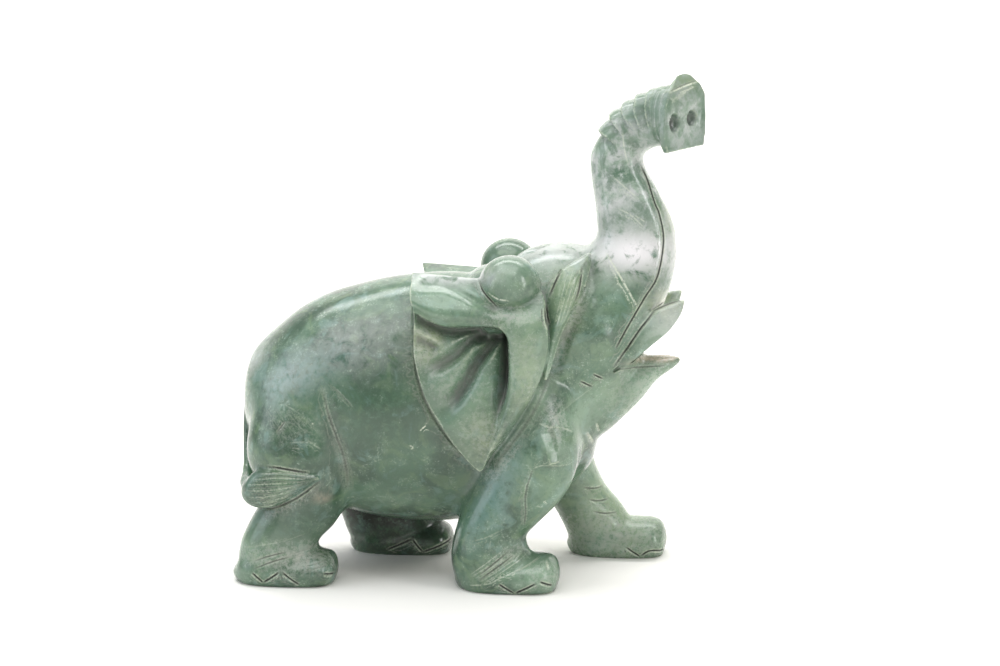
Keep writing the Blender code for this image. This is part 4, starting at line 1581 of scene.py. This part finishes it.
@dataclass(frozen=True)
class Hardstone:
    """Green hardstone, of the jade kind, cut, ground and polished: glossy, cloudy and a little translucent.

    The body of the block is deep green with paler clouds and fine grains, and its front is a pale, almost
    lilac stone with green patches. Chalky dust lodges in the creases and dulls them, painted shade darkens
    the deepest cuts, the flutes and the nostrils, and bruised edges are nearly white. Painted highlights and
    sheen lie over some places, and sharp outward edges are pale, partly as wear and partly as painted
    highlight.
    """

    deep: str = "#3a5241"
    green: str = "#516f58"
    # Paler stone, and in places a painted highlight.
    light: str = "#86a088"
    moss: str = "#6a8360"
    mist: str = "#6d8c84"
    speck: str = "#b4c4b4"
    pale: str = "#9cad9e"
    lilac: str = "#bfc3c1"
    patch: str = "#5c7763"
    warm: str = "#a3ac83"
    # Bluish stone, and a painted sheen.
    blue: str = "#6c8b84"
    # Whitish stone, and painted highlights and sheen.
    white: str = "#e9e7e8"
    pink: str = "#cbb4a0"
    chalk: str = "#aeb1a8"
    # Painted shade and shadow.
    dark: str = "#2e332c"
    dust: str = "#74716f"
    # Pale on sharp outward edges: partly worn edges, partly a painted highlight.
    edge: str = "#c4cdb4"
    # Painted shade in the deep flutes, the nostrils and the cut lines.
    painted_shade: str = "#1f231d"
    bruise: str = "#d3d9c6"
    # The finest real grains are a few tenths of a millimetre, too fine to show, so they're drawn at 0.9.
    grains: tuple[Grain, ...] = (
        Grain("clouds", 24.0, 4, 0.6, 0.6),
        Grain("veins", 13.0, 4, 0.6, 1.0),
        Grain("mottle", 7.0, 5, 0.65, 0.4),
        Grain("waves", 6.0, 2, 0.55),
        Grain("blotch", 3.0, 4, 0.7, 0.3),
        Grain("chalk patches", 2.2, 5, 0.75),
        Grain("dust patches", 1.6, 4, 0.7),
        Grain("fine", 0.9, 2, 0.6),
    )
    ring_mm: float = 1.3
    plain_marks: tuple[str, ...] = (Wear.DUST.value, Wear.PAINTED_SHADE.value, "edge", "back")
    worn_covers: Layers = (
        ("chalky", Cover((Tone.CHALK.value,), (("chalk patches", 0.35, 0.7, 1.0),))),
        ("dusty", Cover((Wear.DUST.value,), (("dust patches", 0.25, 0.6, 1.0),))),
        ("ringed", Cover((), (("back", 11.0, 6.0, 1.0), ("rings", 0.42, 0.58, 1.0)))),
    )
    # The dark of the cut lines is painted shade in the grooves; the pale is scratches.
    line_covers: Layers = (
        ("cut", Cover(("dark line",), (("away", 0.75, 0.3, 1.0),))),
        ("scratch", Cover(("pale line",), (("away", 0.75, 0.3, 1.0),))),
        ("scratch", Cover(("dark line",), (("away", 1.7, 0.9, 1.0),), 0.45)),
    )
    roughness: float = 0.2
    dust_roughness: float = 0.7
    # A typical refractive index for jade. Light enters it a millimetre or so, and green the furthest.
    ior: float = 1.6
    translucence: float = 0.1
    glow: Point = (1.0, 1.3, 1.0)
    # Strength, and height in millimetres, of the polish's slow waves, its fine grit, and the cuts.
    wave_bump: tuple[float, float] = (0.1, 0.5)
    grit_bump: tuple[float, float] = (0.12, 0.25)
    cut_bump: tuple[float, float] = (0.5, 0.3)

    def patterns(self, tree: bpy.types.NodeTree) -> Sockets:
        """Adds the patterns and the carving's marks to the tree.

        Args:
            tree: The material's nodes.

        Returns:
            The sockets that carry them, by name.
        """
        place = add(tree, "ShaderNodeTexCoord").outputs["Object"]
        found = {}
        for grain in self.grains:
            values = {
                "Vector": place,
                "Scale": 1 / (grain.size * MM),
                "Detail": grain.detail,
                "Roughness": grain.roughness,
                "Distortion": grain.twist,
            }
            found[grain.name] = add(tree, "ShaderNodeTexNoise", values).outputs["Fac"]
        for name in (*(tone.value for tone in Tone), *self.plain_marks):
            found[name] = add(tree, "ShaderNodeAttribute", attribute_name=name).outputs["Fac"]
        back = add(tree, "ShaderNodeCombineXYZ", {"X": found["back"]}).outputs["Vector"]
        values = {"Vector": back, "Scale": 1 / self.ring_mm, "Detail": 2.0}
        found["rings"] = add(tree, "ShaderNodeTexNoise", values).outputs["Fac"]
        for name, cover in self.worn_covers:
            found[name] = self.share(tree, found, cover)
        return found

    def share(self, tree: bpy.types.NodeTree, sockets: Sockets, cover: Cover) -> bpy.types.NodeSocket:
        """Multiplies a cover's marks, ranged patterns and strength.

        Args:
            tree: The material's nodes.
            sockets: The sockets that the cover names.
            cover: What is multiplied.

        Returns:
            The product, as a share from 0 to 1.
        """
        factors = [sockets[name] for name in cover.marks]
        for name, start, full, top in cover.ranges:
            values = {"Value": sockets[name], "From Min": start, "From Max": full, "To Max": top}
            span = add(tree, "ShaderNodeMapRange", values, interpolation_type="SMOOTHSTEP")
            factors.append(span.outputs["Result"])
        if cover.strength != 1:
            factors.append(cover.strength)
        whole = factors[0]
        for factor in factors[1:]:
            step = add(tree, "ShaderNodeMath", {0: whole, 1: factor}, operation="MULTIPLY", use_clamp=True)
            whole = step.outputs["Value"]
        return whole

    def lay(
        self,
        tree: bpy.types.NodeTree,
        sockets: Sockets,
        under: bpy.types.NodeSocket | tuple[float, ...],
        layers: Layers,
    ) -> bpy.types.NodeSocket:
        """Lays colours over a colour, one after another.

        Args:
            tree: The material's nodes.
            sockets: The sockets that the covers name.
            under: The colour below them all.
            layers: Each layer's hex colour and where it lies.

        Returns:
            The colour with all of them on it.
        """
        for code, cover in layers:
            values = {0: self.share(tree, sockets, cover), 6: under, 7: linear(code)}
            under = add(tree, "ShaderNodeMix", values, data_type="RGBA", clamp_factor=True).outputs[2]
        return under

    def lines(self, tree: bpy.types.NodeTree) -> Sockets:
        """Reads the cut lines, each set of which carries the distance to a line, how dark its painted shade
        is and how pale it is.

        Args:
            tree: The material's nodes.

        Returns:
            The painted shade of the cuts and the pale of the scratches, each the largest over the sets.
        """
        found = {"cut": 0.0, "scratch": 0.0}
        for number in range(LINE_SETS):
            line = add(tree, "ShaderNodeAttribute", attribute_name=f"line{number}").outputs["Vector"]
            parts = add(tree, "ShaderNodeSeparateXYZ", {"Vector": line}).outputs
            away = add(tree, "ShaderNodeMath", {0: parts["X"]}, operation="ABSOLUTE").outputs["Value"]
            here = {"away": away, "dark line": parts["Y"], "pale line": parts["Z"]}
            for name, cover in self.line_covers:
                values = {0: found[name], 1: self.share(tree, here, cover)}
                found[name] = add(tree, "ShaderNodeMath", values, operation="MAXIMUM").outputs["Value"]
        return found

    def body_layers(self) -> Layers:
        """The clouds, veins and blotches of the block's deep green body."""
        return (
            (self.green, Cover((), (("clouds", 0.36, 0.6, 1.0),))),
            (self.moss, Cover((), (("veins", 0.52, 0.66, 0.55),))),
            (self.mist, Cover((), (("veins", 0.46, 0.34, 0.55),))),
            (self.light, Cover((), (("mottle", 0.5, 0.7, 0.3),))),
            (self.light, Cover((), (("blotch", 0.5, 0.72, 0.28),))),
            (self.deep, Cover((), (("blotch", 0.48, 0.3, 0.4),))),
            (self.light, Cover((Tone.LIGHT.value,), (("blotch", 0.05, 0.55, 1.0),))),
        )

    def front_layers(self) -> Layers:
        """The patches of the block's pale front."""
        return (
            (self.lilac, Cover((), (("mottle", 0.38, 0.6, 1.0),))),
            (self.patch, Cover((), (("veins", 0.5, 0.6, 0.7),))),
            (self.patch, Cover((), (("blotch", 0.5, 0.66, 0.4),))),
            (self.lilac, Cover((), (("blotch", 0.46, 0.3, 0.5),))),
        )

    def drift_layers(self) -> Layers:
        """The fine grains and the drifts of tone, milky where they're white and patchy elsewhere: the dark
        drifts are painted shade, and some white and blue ones are painted highlights and sheen.
        """
        milky, patchy = (("mottle", 0.3, 0.52, 1.0),), (("blotch", 0.25, 0.6, 1.0),)
        return (
            (self.speck, Cover((), (("fine", 0.54, 0.68, 1.0), ("mottle", 0.48, 0.62, 0.42)))),
            (self.patch, Cover((Tone.GREEN.value,), patchy)),
            (self.blue, Cover((Tone.BLUE.value,), patchy)),
            (self.warm, Cover((Tone.WARM.value,), patchy)),
            (self.white, Cover((Tone.WHITE.value,), milky)),
            (self.pink, Cover((Tone.PINK.value,), patchy)),
            (self.dark, Cover((Tone.DARK.value,), patchy)),
            (self.deep, Cover((Tone.DEEP.value,), patchy)),
        )

    def wear_layers(self) -> Layers:
        """Chalk, dust, pale edges that are partly a painted highlight, painted shade in the deep flutes and
        nostrils, the rings at the trunk's end, and the cut lines over them, whose dark is painted shade.
        """
        return (
            (self.chalk, Cover(("chalky",))),
            (self.dust, Cover(("dusty",), (), 0.85)),
            # Pale edges: partly wear, partly a painted highlight.
            (self.edge, Cover(("edge",), (("blotch", 0.3, 0.6, 0.6),))),
            # Painted shade in the deep flutes and the nostrils.
            (self.painted_shade, Cover((Wear.PAINTED_SHADE.value,))),
            (self.patch, Cover(("ringed",), (), 0.7)),
            (self.bruise, Cover(("scratch",), (("fine", 0.3, 0.55, 1.0),))),
            # Painted shade along the cut lines.
            (self.painted_shade, Cover(("cut",), (), 0.9)),
        )

    def relief(self, tree: bpy.types.NodeTree, sockets: Sockets) -> bpy.types.NodeSocket:
        """Raises the polish's slow waves and fine grit, and sinks the cuts and rings.

        Args:
            tree: The material's nodes.
            sockets: The patterns and lines.

        Returns:
            The normal.
        """
        sunk = add(tree, "ShaderNodeMath", {0: sockets["cut"], 1: sockets["ringed"]}, operation="MAXIMUM")
        steps = (
            (sockets["waves"], self.wave_bump, False),
            (sockets["blotch"], self.grit_bump, False),
            (sunk.outputs["Value"], self.cut_bump, True),
        )
        below = {}
        for height, (strength, size), inward in steps:
            values = {"Height": height, "Strength": strength, "Distance": size * MM}
            bump = add(tree, "ShaderNodeBump", values | below, invert=inward)
            below = {"Normal": bump.outputs["Normal"]}
        return below["Normal"]

    def material(self) -> bpy.types.Material:
        """Builds the stone's material.

        Returns:
            The material, which reads object coordinates and the carving's own attributes.
        """
        made = blank("polished green hardstone")
        tree = made.node_tree
        sockets = self.patterns(tree) | self.lines(tree)
        body = self.lay(tree, sockets, linear(self.deep), self.body_layers())
        front = self.lay(tree, sockets, linear(self.pale), self.front_layers())
        values = {0: sockets[Tone.PALE.value], 6: body, 7: front}
        block = add(tree, "ShaderNodeMix", values, data_type="RGBA", clamp_factor=True).outputs[2]
        colour = self.lay(tree, sockets, block, self.drift_layers() + self.wear_layers())
        dull = sockets["cut"]
        for name in ("dusty", "chalky"):
            larger = add(tree, "ShaderNodeMath", {0: dull, 1: sockets[name]}, operation="MAXIMUM")
            dull = larger.outputs["Value"]
        values = {"Value": dull, "To Min": self.roughness, "To Max": self.dust_roughness}
        values = {
            "Base Color": colour,
            "Roughness": add(tree, "ShaderNodeMapRange", values).outputs["Result"],
            "Normal": self.relief(tree, sockets),
            "IOR": self.ior,
            "Subsurface Weight": self.translucence,
            "Subsurface Radius": self.glow,
            "Subsurface Scale": 1.0 * MM,
        }
        surface = add(tree, "ShaderNodeBsdfPrincipled", values)
        add(tree, "ShaderNodeOutputMaterial", {"Surface": surface.outputs["BSDF"]})
        return made


@dataclass(frozen=True)
class Carving:
    """The whole elephant, cut from one stone."""

    body: Body = Body()
    legs: Legs = Legs()
    head: Head = Head()
    trunk: Trunk = Trunk()
    near_ear: Ear = Ear()
    far_ear: Ear = Ear(far=True)
    tail: Tail = Tail()
    finish: Hardstone = Hardstone()
    # How often the skin is eased after a step of the work, and by how much.
    flute_easing: tuple[int, float] = (2, 0.4)
    facet_easing: tuple[int, float] = (1, 0.3)
    # Passes of averaging over which hollows and edges are measured.
    hollow_passes: int = 30
    edge_passes: int = 3
    # Where each kind of dust, painted shade and pale edge starts and is full: depths and bends in
    # millimetres, and shares of a nostril.
    hollow_dust: tuple[float, float] = (0.35, 1.8)
    flute_dust: tuple[float, float] = (1.8, 5.5)
    flute_painted_shade: tuple[float, float] = (4.5, 10.0)
    nostril_painted_shade: tuple[float, float] = (0.2, 0.7)
    edge_bend: tuple[float, float] = (0.3, 0.9)
    # The most of each there: dust in the flutes, then painted shade in the flutes, the nostrils and the dusty
    # lines.
    flute_dust_top: float = 0.7
    flute_painted_shade_top: float = 0.8
    nostril_painted_shade_top: float = 0.75
    dusty_line_painted_shade_top: float = 0.6
    # Dust comes in patches this wide, of this mean and swing.
    dust_patches: tuple[float, float, float] = (7.0, 0.7, 0.5)
    # How far the colour of a soft or stepped groove spreads from its line, in millimetres.
    soft_line_width: float = 0.6
    drifts: tuple[Drift, ...] = (
        *drifts(
            Tone.PALE,
            ((72, -4, 190), (26, 30, 28), 1.3),
            ((97, -12, 217), (16, 20, 20), 1.3),
            ((94, 0, 160), (9, 30, 32), 0.9),
        ),
        *drifts(
            Tone.WHITE,
            ((76, -14, 155), (19, 22, 10), 1.1),
            # Painted highlight along the forehead.
            ((40, -14, 155), (26, 22, 7), 0.45),
            # Painted highlight on the top of the ear's fold.
            ((-2, -36, 147), (20, 16, 4.5), 0.5),
            ((91, -8, 126), (12, 26, 10), 0.45, 40),
            # Painted sheen on the haunch.
            ((-76, -38, 99), (21, 18, 9), 0.22, 25),
            ((101, -14, 208), (9, 12, 5), 0.45),
            ((63, -12, 176), (8, 10, 6), 0.45),
            # Painted highlight on the rump.
            ((-100, -20, 103), (10, 20, 7), 0.3, 35),
            # Painted highlight on the ear's fold.
            ((-4, -36, 146), (22, 16, 4), 0.6),
            # Painted sheen on the upper flank.
            ((-50, -40, 112), (34, 14, 14), 0.22, 8),
        ),
        *drifts(
            Tone.GREEN,
            ((74.6, -13, 203), (5, 9, 3.6), 0.9),
            ((79.8, -14, 222), (5, 9, 4.5), 0.8),
            ((69.5, -13, 190), (8, 9, 5), 1.1),
            ((80, -12, 171), (9, 9, 7), 0.9, -20),
            ((58.5, -8, 181), (4, 9, 8), 0.7),
            ((68, -12, 170), (12, 9, 5), 0.6),
            ((80, -13, 159), (5, 6, 3), 0.5),
            ((92, -3, 156), (4, 10, 4), 0.6),
            ((98, -14, 234), (10, 12, 5), 0.9),
            ((92, -14, 214), (6, 8, 5), 0.7),
            ((106, -4, 219), (6, 8, 4), 0.6),
            ((104, -10, 204), (4, 7, 4), 0.7),
        ),
        *drifts(
            Tone.LIGHT,
            # Painted highlight on the knee's flat.
            ((40, -44, 70), (3.4, 8, 9.5), 0.8, 17),
            ((82, -6, 94), (20, 24, 14), 0.9, 35),
            ((86, -8, 120), (14, 24, 12), 0.9),
            ((56, -30, 84), (20, 16, 9), 0.9, 35),
            # Paler ear rim, with a painted highlight along it.
            ((28, -48, 110), (12, 10, 26), 0.8),
            ((0, -50, 100), (20, 8, 26), 0.85),
            ((22, -44, 144), (9, 9, 8), 0.6),
            ((15, 34, 146), (14, 14, 10), 0.9),
            ((58, -25, 112), (11, 12, 12), 0.45),
            # Painted highlight on the ear's fold.
            ((-6, -46, 132), (26, 12, 12), 0.6),
            ((22, -36, 146), (14, 14, 12), 0.5),
            ((45, -32, 138), (8, 12, 20), 0.5),
            ((64, 32, 28), (26, 18, 34), 1.0),
            ((-34, -30, 40), (20, 20, 6), 0.4),
            ((-84, -36, 20), (22, 14, 14), 0.6),
            ((38, -40, 52), (14, 10, 14), 0.6),
            ((36, -44, 10), (16, 10, 9), 1.0),
            ((60, -24, 84), (20, 16, 8), 0.7, 35),
            ((38, -42, 98), (5, 8, 15), 1.0, -20),
            ((65, -24, 142), (11, 10, 12), 0.6),
            ((62, -26, 128), (11, 10, 10), 0.5),
            ((47, -44, 66), (7, 8, 10), 0.6),
        ),
        # Painted shade and shadow: under the ear's fold, on the far legs under the belly, in the gap behind
        # the tail, and behind the near front leg.
        *drifts(
            Tone.DARK,
            ((13, -42, 118), (12, 7, 5), 0.6),
            ((-48, 20, 32), (30, 28, 16), 2.6),
            ((-38, 28, 10), (32, 20, 15), 1.2),
            ((-101, 4, 57), (9, 15, 11), 1.6),
            ((6, -30, 40), (8, 12, 12), 0.5),
        ),
        *drifts(
            Tone.WARM,
            ((-12, -48, 119), (5, 6, 3.4), 0.8),
            ((64, 32, 26), (26, 18, 30), 0.35),
            ((30, -50, 100), (7, 7, 26), 0.3),
            ((46, -30, 136), (8, 10, 22), 0.35),
            ((90, -4, 131), (8, 26, 5), 0.9),
            ((98, -10, 232), (12, 20, 5), 0.5),
            ((10, -48, 72), (9, 8, 12), 0.4),
            ((91, -3, 165), (4, 10, 16), 0.5),
            ((-17, -48, 116), (8, 8, 8), 0.7),
        ),
        *drifts(
            Tone.BLUE,
            # Painted sheen on the haunch.
            ((-75, -38, 99), (22, 18, 9), 0.9, 25),
            ((1, -44, 91), (2.6, 8, 13), 0.7, -38),
            # Painted sheen on the near front leg.
            ((15, -46, 50), (8, 10, 26), 1.0, -26),
            ((-20, -48, 114), (4, 6, 4), 0.9),
        ),
        *drifts(
            Tone.PINK,
            ((-65.2, -41.5, 42.6), (4, 4, 2), 0.8),
            ((88, -8, 104), (14, 14, 1.6), 1.0),
        ),
        *drifts(
            Tone.CHALK,
            ((22, -46, 128), (11, 8, 5), 0.8),
            ((36, -34, 142), (4, 10, 12), 0.7),
            ((18, -46, 62), (14, 10, 4), 0.6, 50),
            ((-78, -41, 14), (22, 10, 7), 1.0),
            ((-78, -41, 40), (16, 10, 3.4), 0.5, 30),
            ((18, -44, 16), (14, 10, 4), 0.6, 35),
            ((66, 20, 12), (24, 16, 14), 0.8),
            ((38, -44, 10), (12, 10, 8), 0.4),
            ((-2, -48, 102), (18, 8, 14), 0.5),
            ((-16, -48, 116), (8, 6, 9), 0.9),
            ((28, -48, 108), (10, 10, 24), 0.35),
            ((10, -48, 76), (12, 8, 14), 0.45),
            ((-78, -44, 76), (18, 10, 12), 0.3),
            ((80, -8, 90), (22, 24, 13), 0.55, 35),
            ((43, -44, 82), (6, 10, 13), 0.8),
            ((38, -42, 98), (4, 8, 13), 0.4, -20),
            ((49, -30, 122), (3, 10, 26), 0.7, -20),
        ),
        *drifts(
            Tone.DEEP,
            # Painted shade along the groove between thigh and belly.
            ((-59, -46, 76), (5, 10, 18), 1.3, -8),
            ((-1, -46, 91), (3, 8, 8), 0.4),
            ((-36, -50, 83), (28, 16, 22), 1.0),
            ((-26, -44, 52), (34, 22, 12), 0.6),
            ((-74, -42, 34), (18, 12, 14), 0.9),
            ((-92, -40, 50), (16, 14, 12), 0.9),
            ((-106, -4, 70), (7, 10, 28), 1.2),
        ),
    )

    def shape(self) -> Skin:
        """Fuses the forms into one skin.

        Returns:
            The skin, at its finest, standing flat on z = 0.
        """
        legs = self.legs.all()
        barrel = fused(self.body.masses() + [leg.limb() for leg in legs], None, BARREL_VOXEL, BARREL_EASING)
        masses = self.trunk.masses() + self.head.masses() + [leg.shoe() for leg in legs]
        mass = pared(fused(masses, barrel, MASS_VOXEL, MASS_EASING), self.head.mouth_cutter())
        details = self.head.details() + self.trunk.details() + self.tail.details()
        details += [self.near_ear.form(), self.far_ear.form()]
        skin = Skin(fused(details, mass, SKIN_VOXEL, SKIN_EASING))
        LOG.info("skin of %d points", len(skin.points))
        return skin

    def grooves(self) -> list[Groove]:
        """Every line cut into the stone."""
        parts = (self.body, self.legs, self.head, self.trunk, self.tail)
        return [groove for part in parts for groove in part.grooves()]

    def tool(self, skin: Skin) -> None:
        """Cuts flutes, flats, folds, grooves and nostrils into the skin, and grinds the soles flat.

        Args:
            skin: The fused skin, which is changed.
        """
        for ear in (self.near_ear, self.far_ear):
            sunk = ear.flute_cut(skin.points)
            skin.points[:, 1] += sunk * (-1 if ear.far else 1)
        skin.ease(*self.flute_easing)
        for facet in self.legs.facets() + self.trunk.facets():
            skin.points = facet.press(skin.points)
        skin.ease(*self.facet_easing)
        normals = skin.normals()
        deep = self.trunk.fold_cut(skin.points)
        for groove in self.grooves():
            reached, strength = groove.measure(skin.points, normals)
            deep[reached] = np.maximum(deep[reached], strength * groove.depth)
        skin.points = skin.points - deep[:, None] * normals
        bowl = self.trunk.nostril_share(skin.points) * self.trunk.nostril_depth
        skin.points = skin.points - bowl[:, None] * self.trunk.plate_axes()[0]
        skin.points[:, 2] = np.maximum(skin.points[:, 2], 0)

    def thin(self, skin: Skin) -> Skin:
        """Keeps the points that the shape needs, which lie closest where it turns most.

        Args:
            skin: The tooled skin.

        Returns:
            The same skin in fewer triangles.
        """
        skin.write()
        body = placed("stone", skin.mesh)
        step = body.modifiers.new("thin", "DECIMATE")
        step.ratio = min(1.0, TRIANGLES / (2 * len(skin.mesh.polygons)))
        return Skin(settled(body))

    def colour(self, skin: Skin) -> None:
        """Marks tones, wear, painted shade and highlight, and lines on the skin.

        Dust lies where the skin is below its own average over a few millimetres, which is in hollows and
        creases, and in the flutes, where painted shade takes over as they get deeper; the nostrils get
        painted shade too. Edges, which are painted pale partly as wear and partly as highlight, are where the
        skin bends
        outwards sharply: the bend is how far a point stands above its neighbours, over their squared
        distance.

        Args:
            skin: The finished skin.
        """
        normals = skin.normals()
        for tone in Tone:
            total = np.zeros(len(skin.points))
            for drift in self.drifts:
                if drift.tone is tone:
                    total = np.maximum(total, drift.measure(skin.points))
            skin.mark(tone.value, total)
        skin.mark("back", self.trunk.back(skin.points)[0])
        fluted = np.maximum(*(ear.flute_cut(skin.points) for ear in (self.near_ear, self.far_ear)))
        # Painted shade: the nostrils' bowls and the deep flutes are darkened.
        nostrils = self.nostril_painted_shade_top * eased(self.trunk.nostril_share(skin.points), *self.nostril_painted_shade)
        painted_shade = np.maximum(nostrils, self.flute_painted_shade_top * eased(fluted, *self.flute_painted_shade))
        skin.mark(Wear.PAINTED_SHADE.value, painted_shade)
        size, mean, swing = self.dust_patches
        patchy = mean + swing * lattice_noise(skin.points, size, 3)
        hollow = eased(self.sunk(skin, normals, self.hollow_passes), *self.hollow_dust) * patchy
        dust = np.maximum(hollow, self.flute_dust_top * eased(fluted, *self.flute_dust))
        skin.mark(Wear.DUST.value, np.clip(dust, 0, 1))
        spacing = np.linalg.norm(np.subtract(*skin.points[skin.edges.T]), axis=1)
        steps = np.bincount(skin.edges.ravel(), np.repeat(spacing**2, 2)) / skin.links
        bend = -4 * self.sunk(skin, normals, self.edge_passes) / (self.edge_passes * steps)
        # Pale on sharp outward bends: partly worn edges, partly a painted highlight.
        skin.mark("edge", eased(bend, *self.edge_bend))
        for number, row in enumerate(self.lines(skin, normals)):
            skin.mark(f"line{number}", row)

    def lines(self, skin: Skin, normals: np.ndarray) -> np.ndarray:
        """Measures the skin against the cut lines, which are dealt out in turn to a few sets.

        A point keeps one line of each set, so lines that cross or lie close together still show side by side.

        Args:
            skin: The finished skin.
            normals: Its normals.

        Returns:
            For each set and point, the distance to the nearest line in widths, its painted shade and its
            pale.
        """
        lines = np.zeros((LINE_SETS, len(skin.points), 3))
        lines[..., 0] = LINE_REACH
        marked = [groove for groove in self.grooves() if groove.wear is not Wear.NONE and groove.tint > 0]
        for number, groove in enumerate(marked):
            row = lines[number % LINE_SETS]
            reached, away, weight = groove.near(skin.points, normals, LINE_REACH)
            away = away / (groove.width if groove.profile is Profile.SHARP else self.soft_line_width)
            closer = np.abs(away) < np.abs(row[reached, 0])
            reached, away, weight = reached[closer], away[closer], weight[closer] * groove.tint
            pale = groove.wear is Wear.BRUISE
            row[reached, 0] = away
            # The dark is painted shade along the groove, weaker in dusty grooves; the pale is a scratch.
            row[reached, 1] = 0 if pale else weight * (self.dusty_line_painted_shade_top if groove.wear is Wear.DUST else 1)
            row[reached, 2] = weight if pale else 0
        return lines

    @staticmethod
    def sunk(skin: Skin, normals: np.ndarray, passes: int) -> np.ndarray:
        """Measures how far each point lies below the skin's own average.

        Args:
            skin: The skin.
            normals: Its normals.
            passes: How many times the skin is averaged.

        Returns:
            One depth for each point.
        """
        blurred = skin.points
        for _ in range(passes):
            blurred = skin.around(blurred)
        return ((blurred - skin.points) * normals).sum(axis=1)

    def build(self) -> bpy.types.Object:
        """Makes the carving's piece in place of the solid.

        Returns:
            The piece.
        """
        skin = self.shape()
        middle = (skin.points.min(axis=0) + skin.points.max(axis=0)) / 2
        self.tool(skin)
        skin = self.thin(skin)
        self.colour(skin)
        low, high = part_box(NODE)
        shift = [(low[i] + high[i]) / 2 / MM - middle[i] for i in (0, 1)]
        skin.points = skin.points + np.array([*shift, 0])
        skin.write()
        skin.mesh.name = "carving"
        piece = placed("carving", skin.mesh)
        skin.mesh.shade_smooth()
        skin.mesh.materials.clear()
        skin.mesh.materials.append(self.finish.material())
        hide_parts(NODE)
        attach(piece, "root")
        LOG.info("carving of %d triangles", len(skin.mesh.polygons))
        return piece


@dataclass(frozen=True)
class Paper:
    """Studio backdrop paper: pale, uncoated and matt, so it takes soft shadows and reflects nothing."""

    colour: str = "#f6f4f0"
    roughness: float = 0.9

    def material(self) -> bpy.types.Material:
        """Builds the paper's material.

        Returns:
            The material.
        """
        made = blank("matt backdrop paper")
        values = {"Base Color": linear(self.colour), "Roughness": self.roughness}
        surface = add(made.node_tree, "ShaderNodeBsdfPrincipled", values)
        add(made.node_tree, "ShaderNodeOutputMaterial", {"Surface": surface.outputs["BSDF"]})
        return made


@dataclass(frozen=True)
class Lamp:
    """A soft box that faces a target, with its size in metres, its power in watts and its colour."""

    name: str
    place: Point
    target: Point
    size: tuple[float, float]
    power: float
    tint: str = "#ffffff"

    def hang(self) -> None:
        """Makes the light and hangs it."""
        data = bpy.data.lights.new(self.name, "AREA")
        data.color = linear(self.tint)[:3]
        data.shape = "RECTANGLE"
        data.size, data.size_y = self.size
        data.energy = self.power
        aim(placed(self.name, data), self.place, self.target)


@dataclass(frozen=True)
class Studio:
    """A pale floor that sweeps up behind the carving, soft lights and the camera."""

    camera_place: Point = (0.10585, -0.95363, 0.27)
    camera_target: Point = (0.0148, -0.008, 0.115)
    lens: float = 74.502
    floor_half: float = 2.5
    sweep_start: float = 0.5
    sweep_radius: float = 0.6
    wall_height: float = 1.6
    backdrop: Paper = Paper()
    sky_low: float = 0.22
    sky_high: float = 0.68
    lamps: tuple[Lamp, ...] = (
        Lamp("right box", (1.15, -0.65, 0.5), (0, 0, 0.11), (0.22, 0.9), 5),
        Lamp("left box", (-1.1, -0.38, 0.55), (0, 0, 0.11), (0.8, 1.0), 4.6, "#e8f1fc"),
        Lamp("top box", (-0.12, -0.3, 1.22), (-0.05, 0, 0), (1.3, 0.9), 9.8),
        Lamp("backdrop box", (0.0, 0.5, 1.3), (0, 1.1, 0.2), (1.8, 0.4), 16),
    )

    def camera(self) -> None:
        """Sets the camera at the photograph's viewing angle."""
        data = bpy.data.cameras.new("camera")
        data.lens = self.lens
        data.sensor_width = 36
        camera = placed("camera", data)
        aim(camera, self.camera_place, self.camera_target)
        bpy.context.scene.camera = camera

    def floor(self) -> None:
        """Lays the floor: level, then a quarter circle, then upright, carried along x."""
        turn = np.linspace(0, math.pi / 2, 24)
        y = np.concatenate([[-self.floor_half], self.sweep_start + self.sweep_radius * np.sin(turn)])
        z = np.concatenate([[0], self.sweep_radius * (1 - np.cos(turn))])
        y, z = np.append(y, y[-1]), np.append(z, self.wall_height)
        x = np.array([-self.floor_half, self.floor_half])
        points = np.stack(np.broadcast_arrays(x[None, :], y[:, None], z[:, None]), -1).reshape(-1, 3)
        mesh = bpy.data.meshes.new("floor")
        mesh.from_pydata(points.tolist(), [], grid_quads(len(y), 2, False).tolist())
        mesh.shade_smooth()
        mesh.materials.append(self.backdrop.material())
        placed("floor", mesh)

    def sky(self) -> None:
        """Sets a white sky that grows brighter upwards, like a tent lit from above."""
        world = bpy.data.worlds.new("studio")
        world.use_nodes = True
        tree = world.node_tree
        direction = add(tree, "ShaderNodeTexCoord").outputs["Generated"]
        height = add(tree, "ShaderNodeSeparateXYZ", {"Vector": direction}).outputs["Z"]
        values = {"Value": height, "To Min": self.sky_low, "To Max": self.sky_high}
        strength = add(tree, "ShaderNodeMapRange", values).outputs["Result"]
        tree.links.new(strength, tree.nodes["Background"].inputs["Strength"])
        tree.nodes["Background"].inputs["Color"].default_value = (1, 1, 1, 1)
        bpy.context.scene.world = world

    def build(self) -> None:
        """Makes the whole studio, with colours shown as they are."""
        self.camera()
        self.floor()
        self.sky()
        for lamp in self.lamps:
            lamp.hang()
        bpy.context.scene.view_settings.view_transform = "Standard"


def main() -> None:
    """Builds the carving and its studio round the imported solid, and notes both sizes."""
    logging.basicConfig(level=logging.INFO, format="%(message)s")
    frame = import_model()
    LOG.info("frame of %d node(s)", len(frame["nodes"]))
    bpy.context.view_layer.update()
    Studio().build()
    piece = Carving().build()
    LOG.info("%s done", piece.name)


if __name__ == "__main__":
    main()
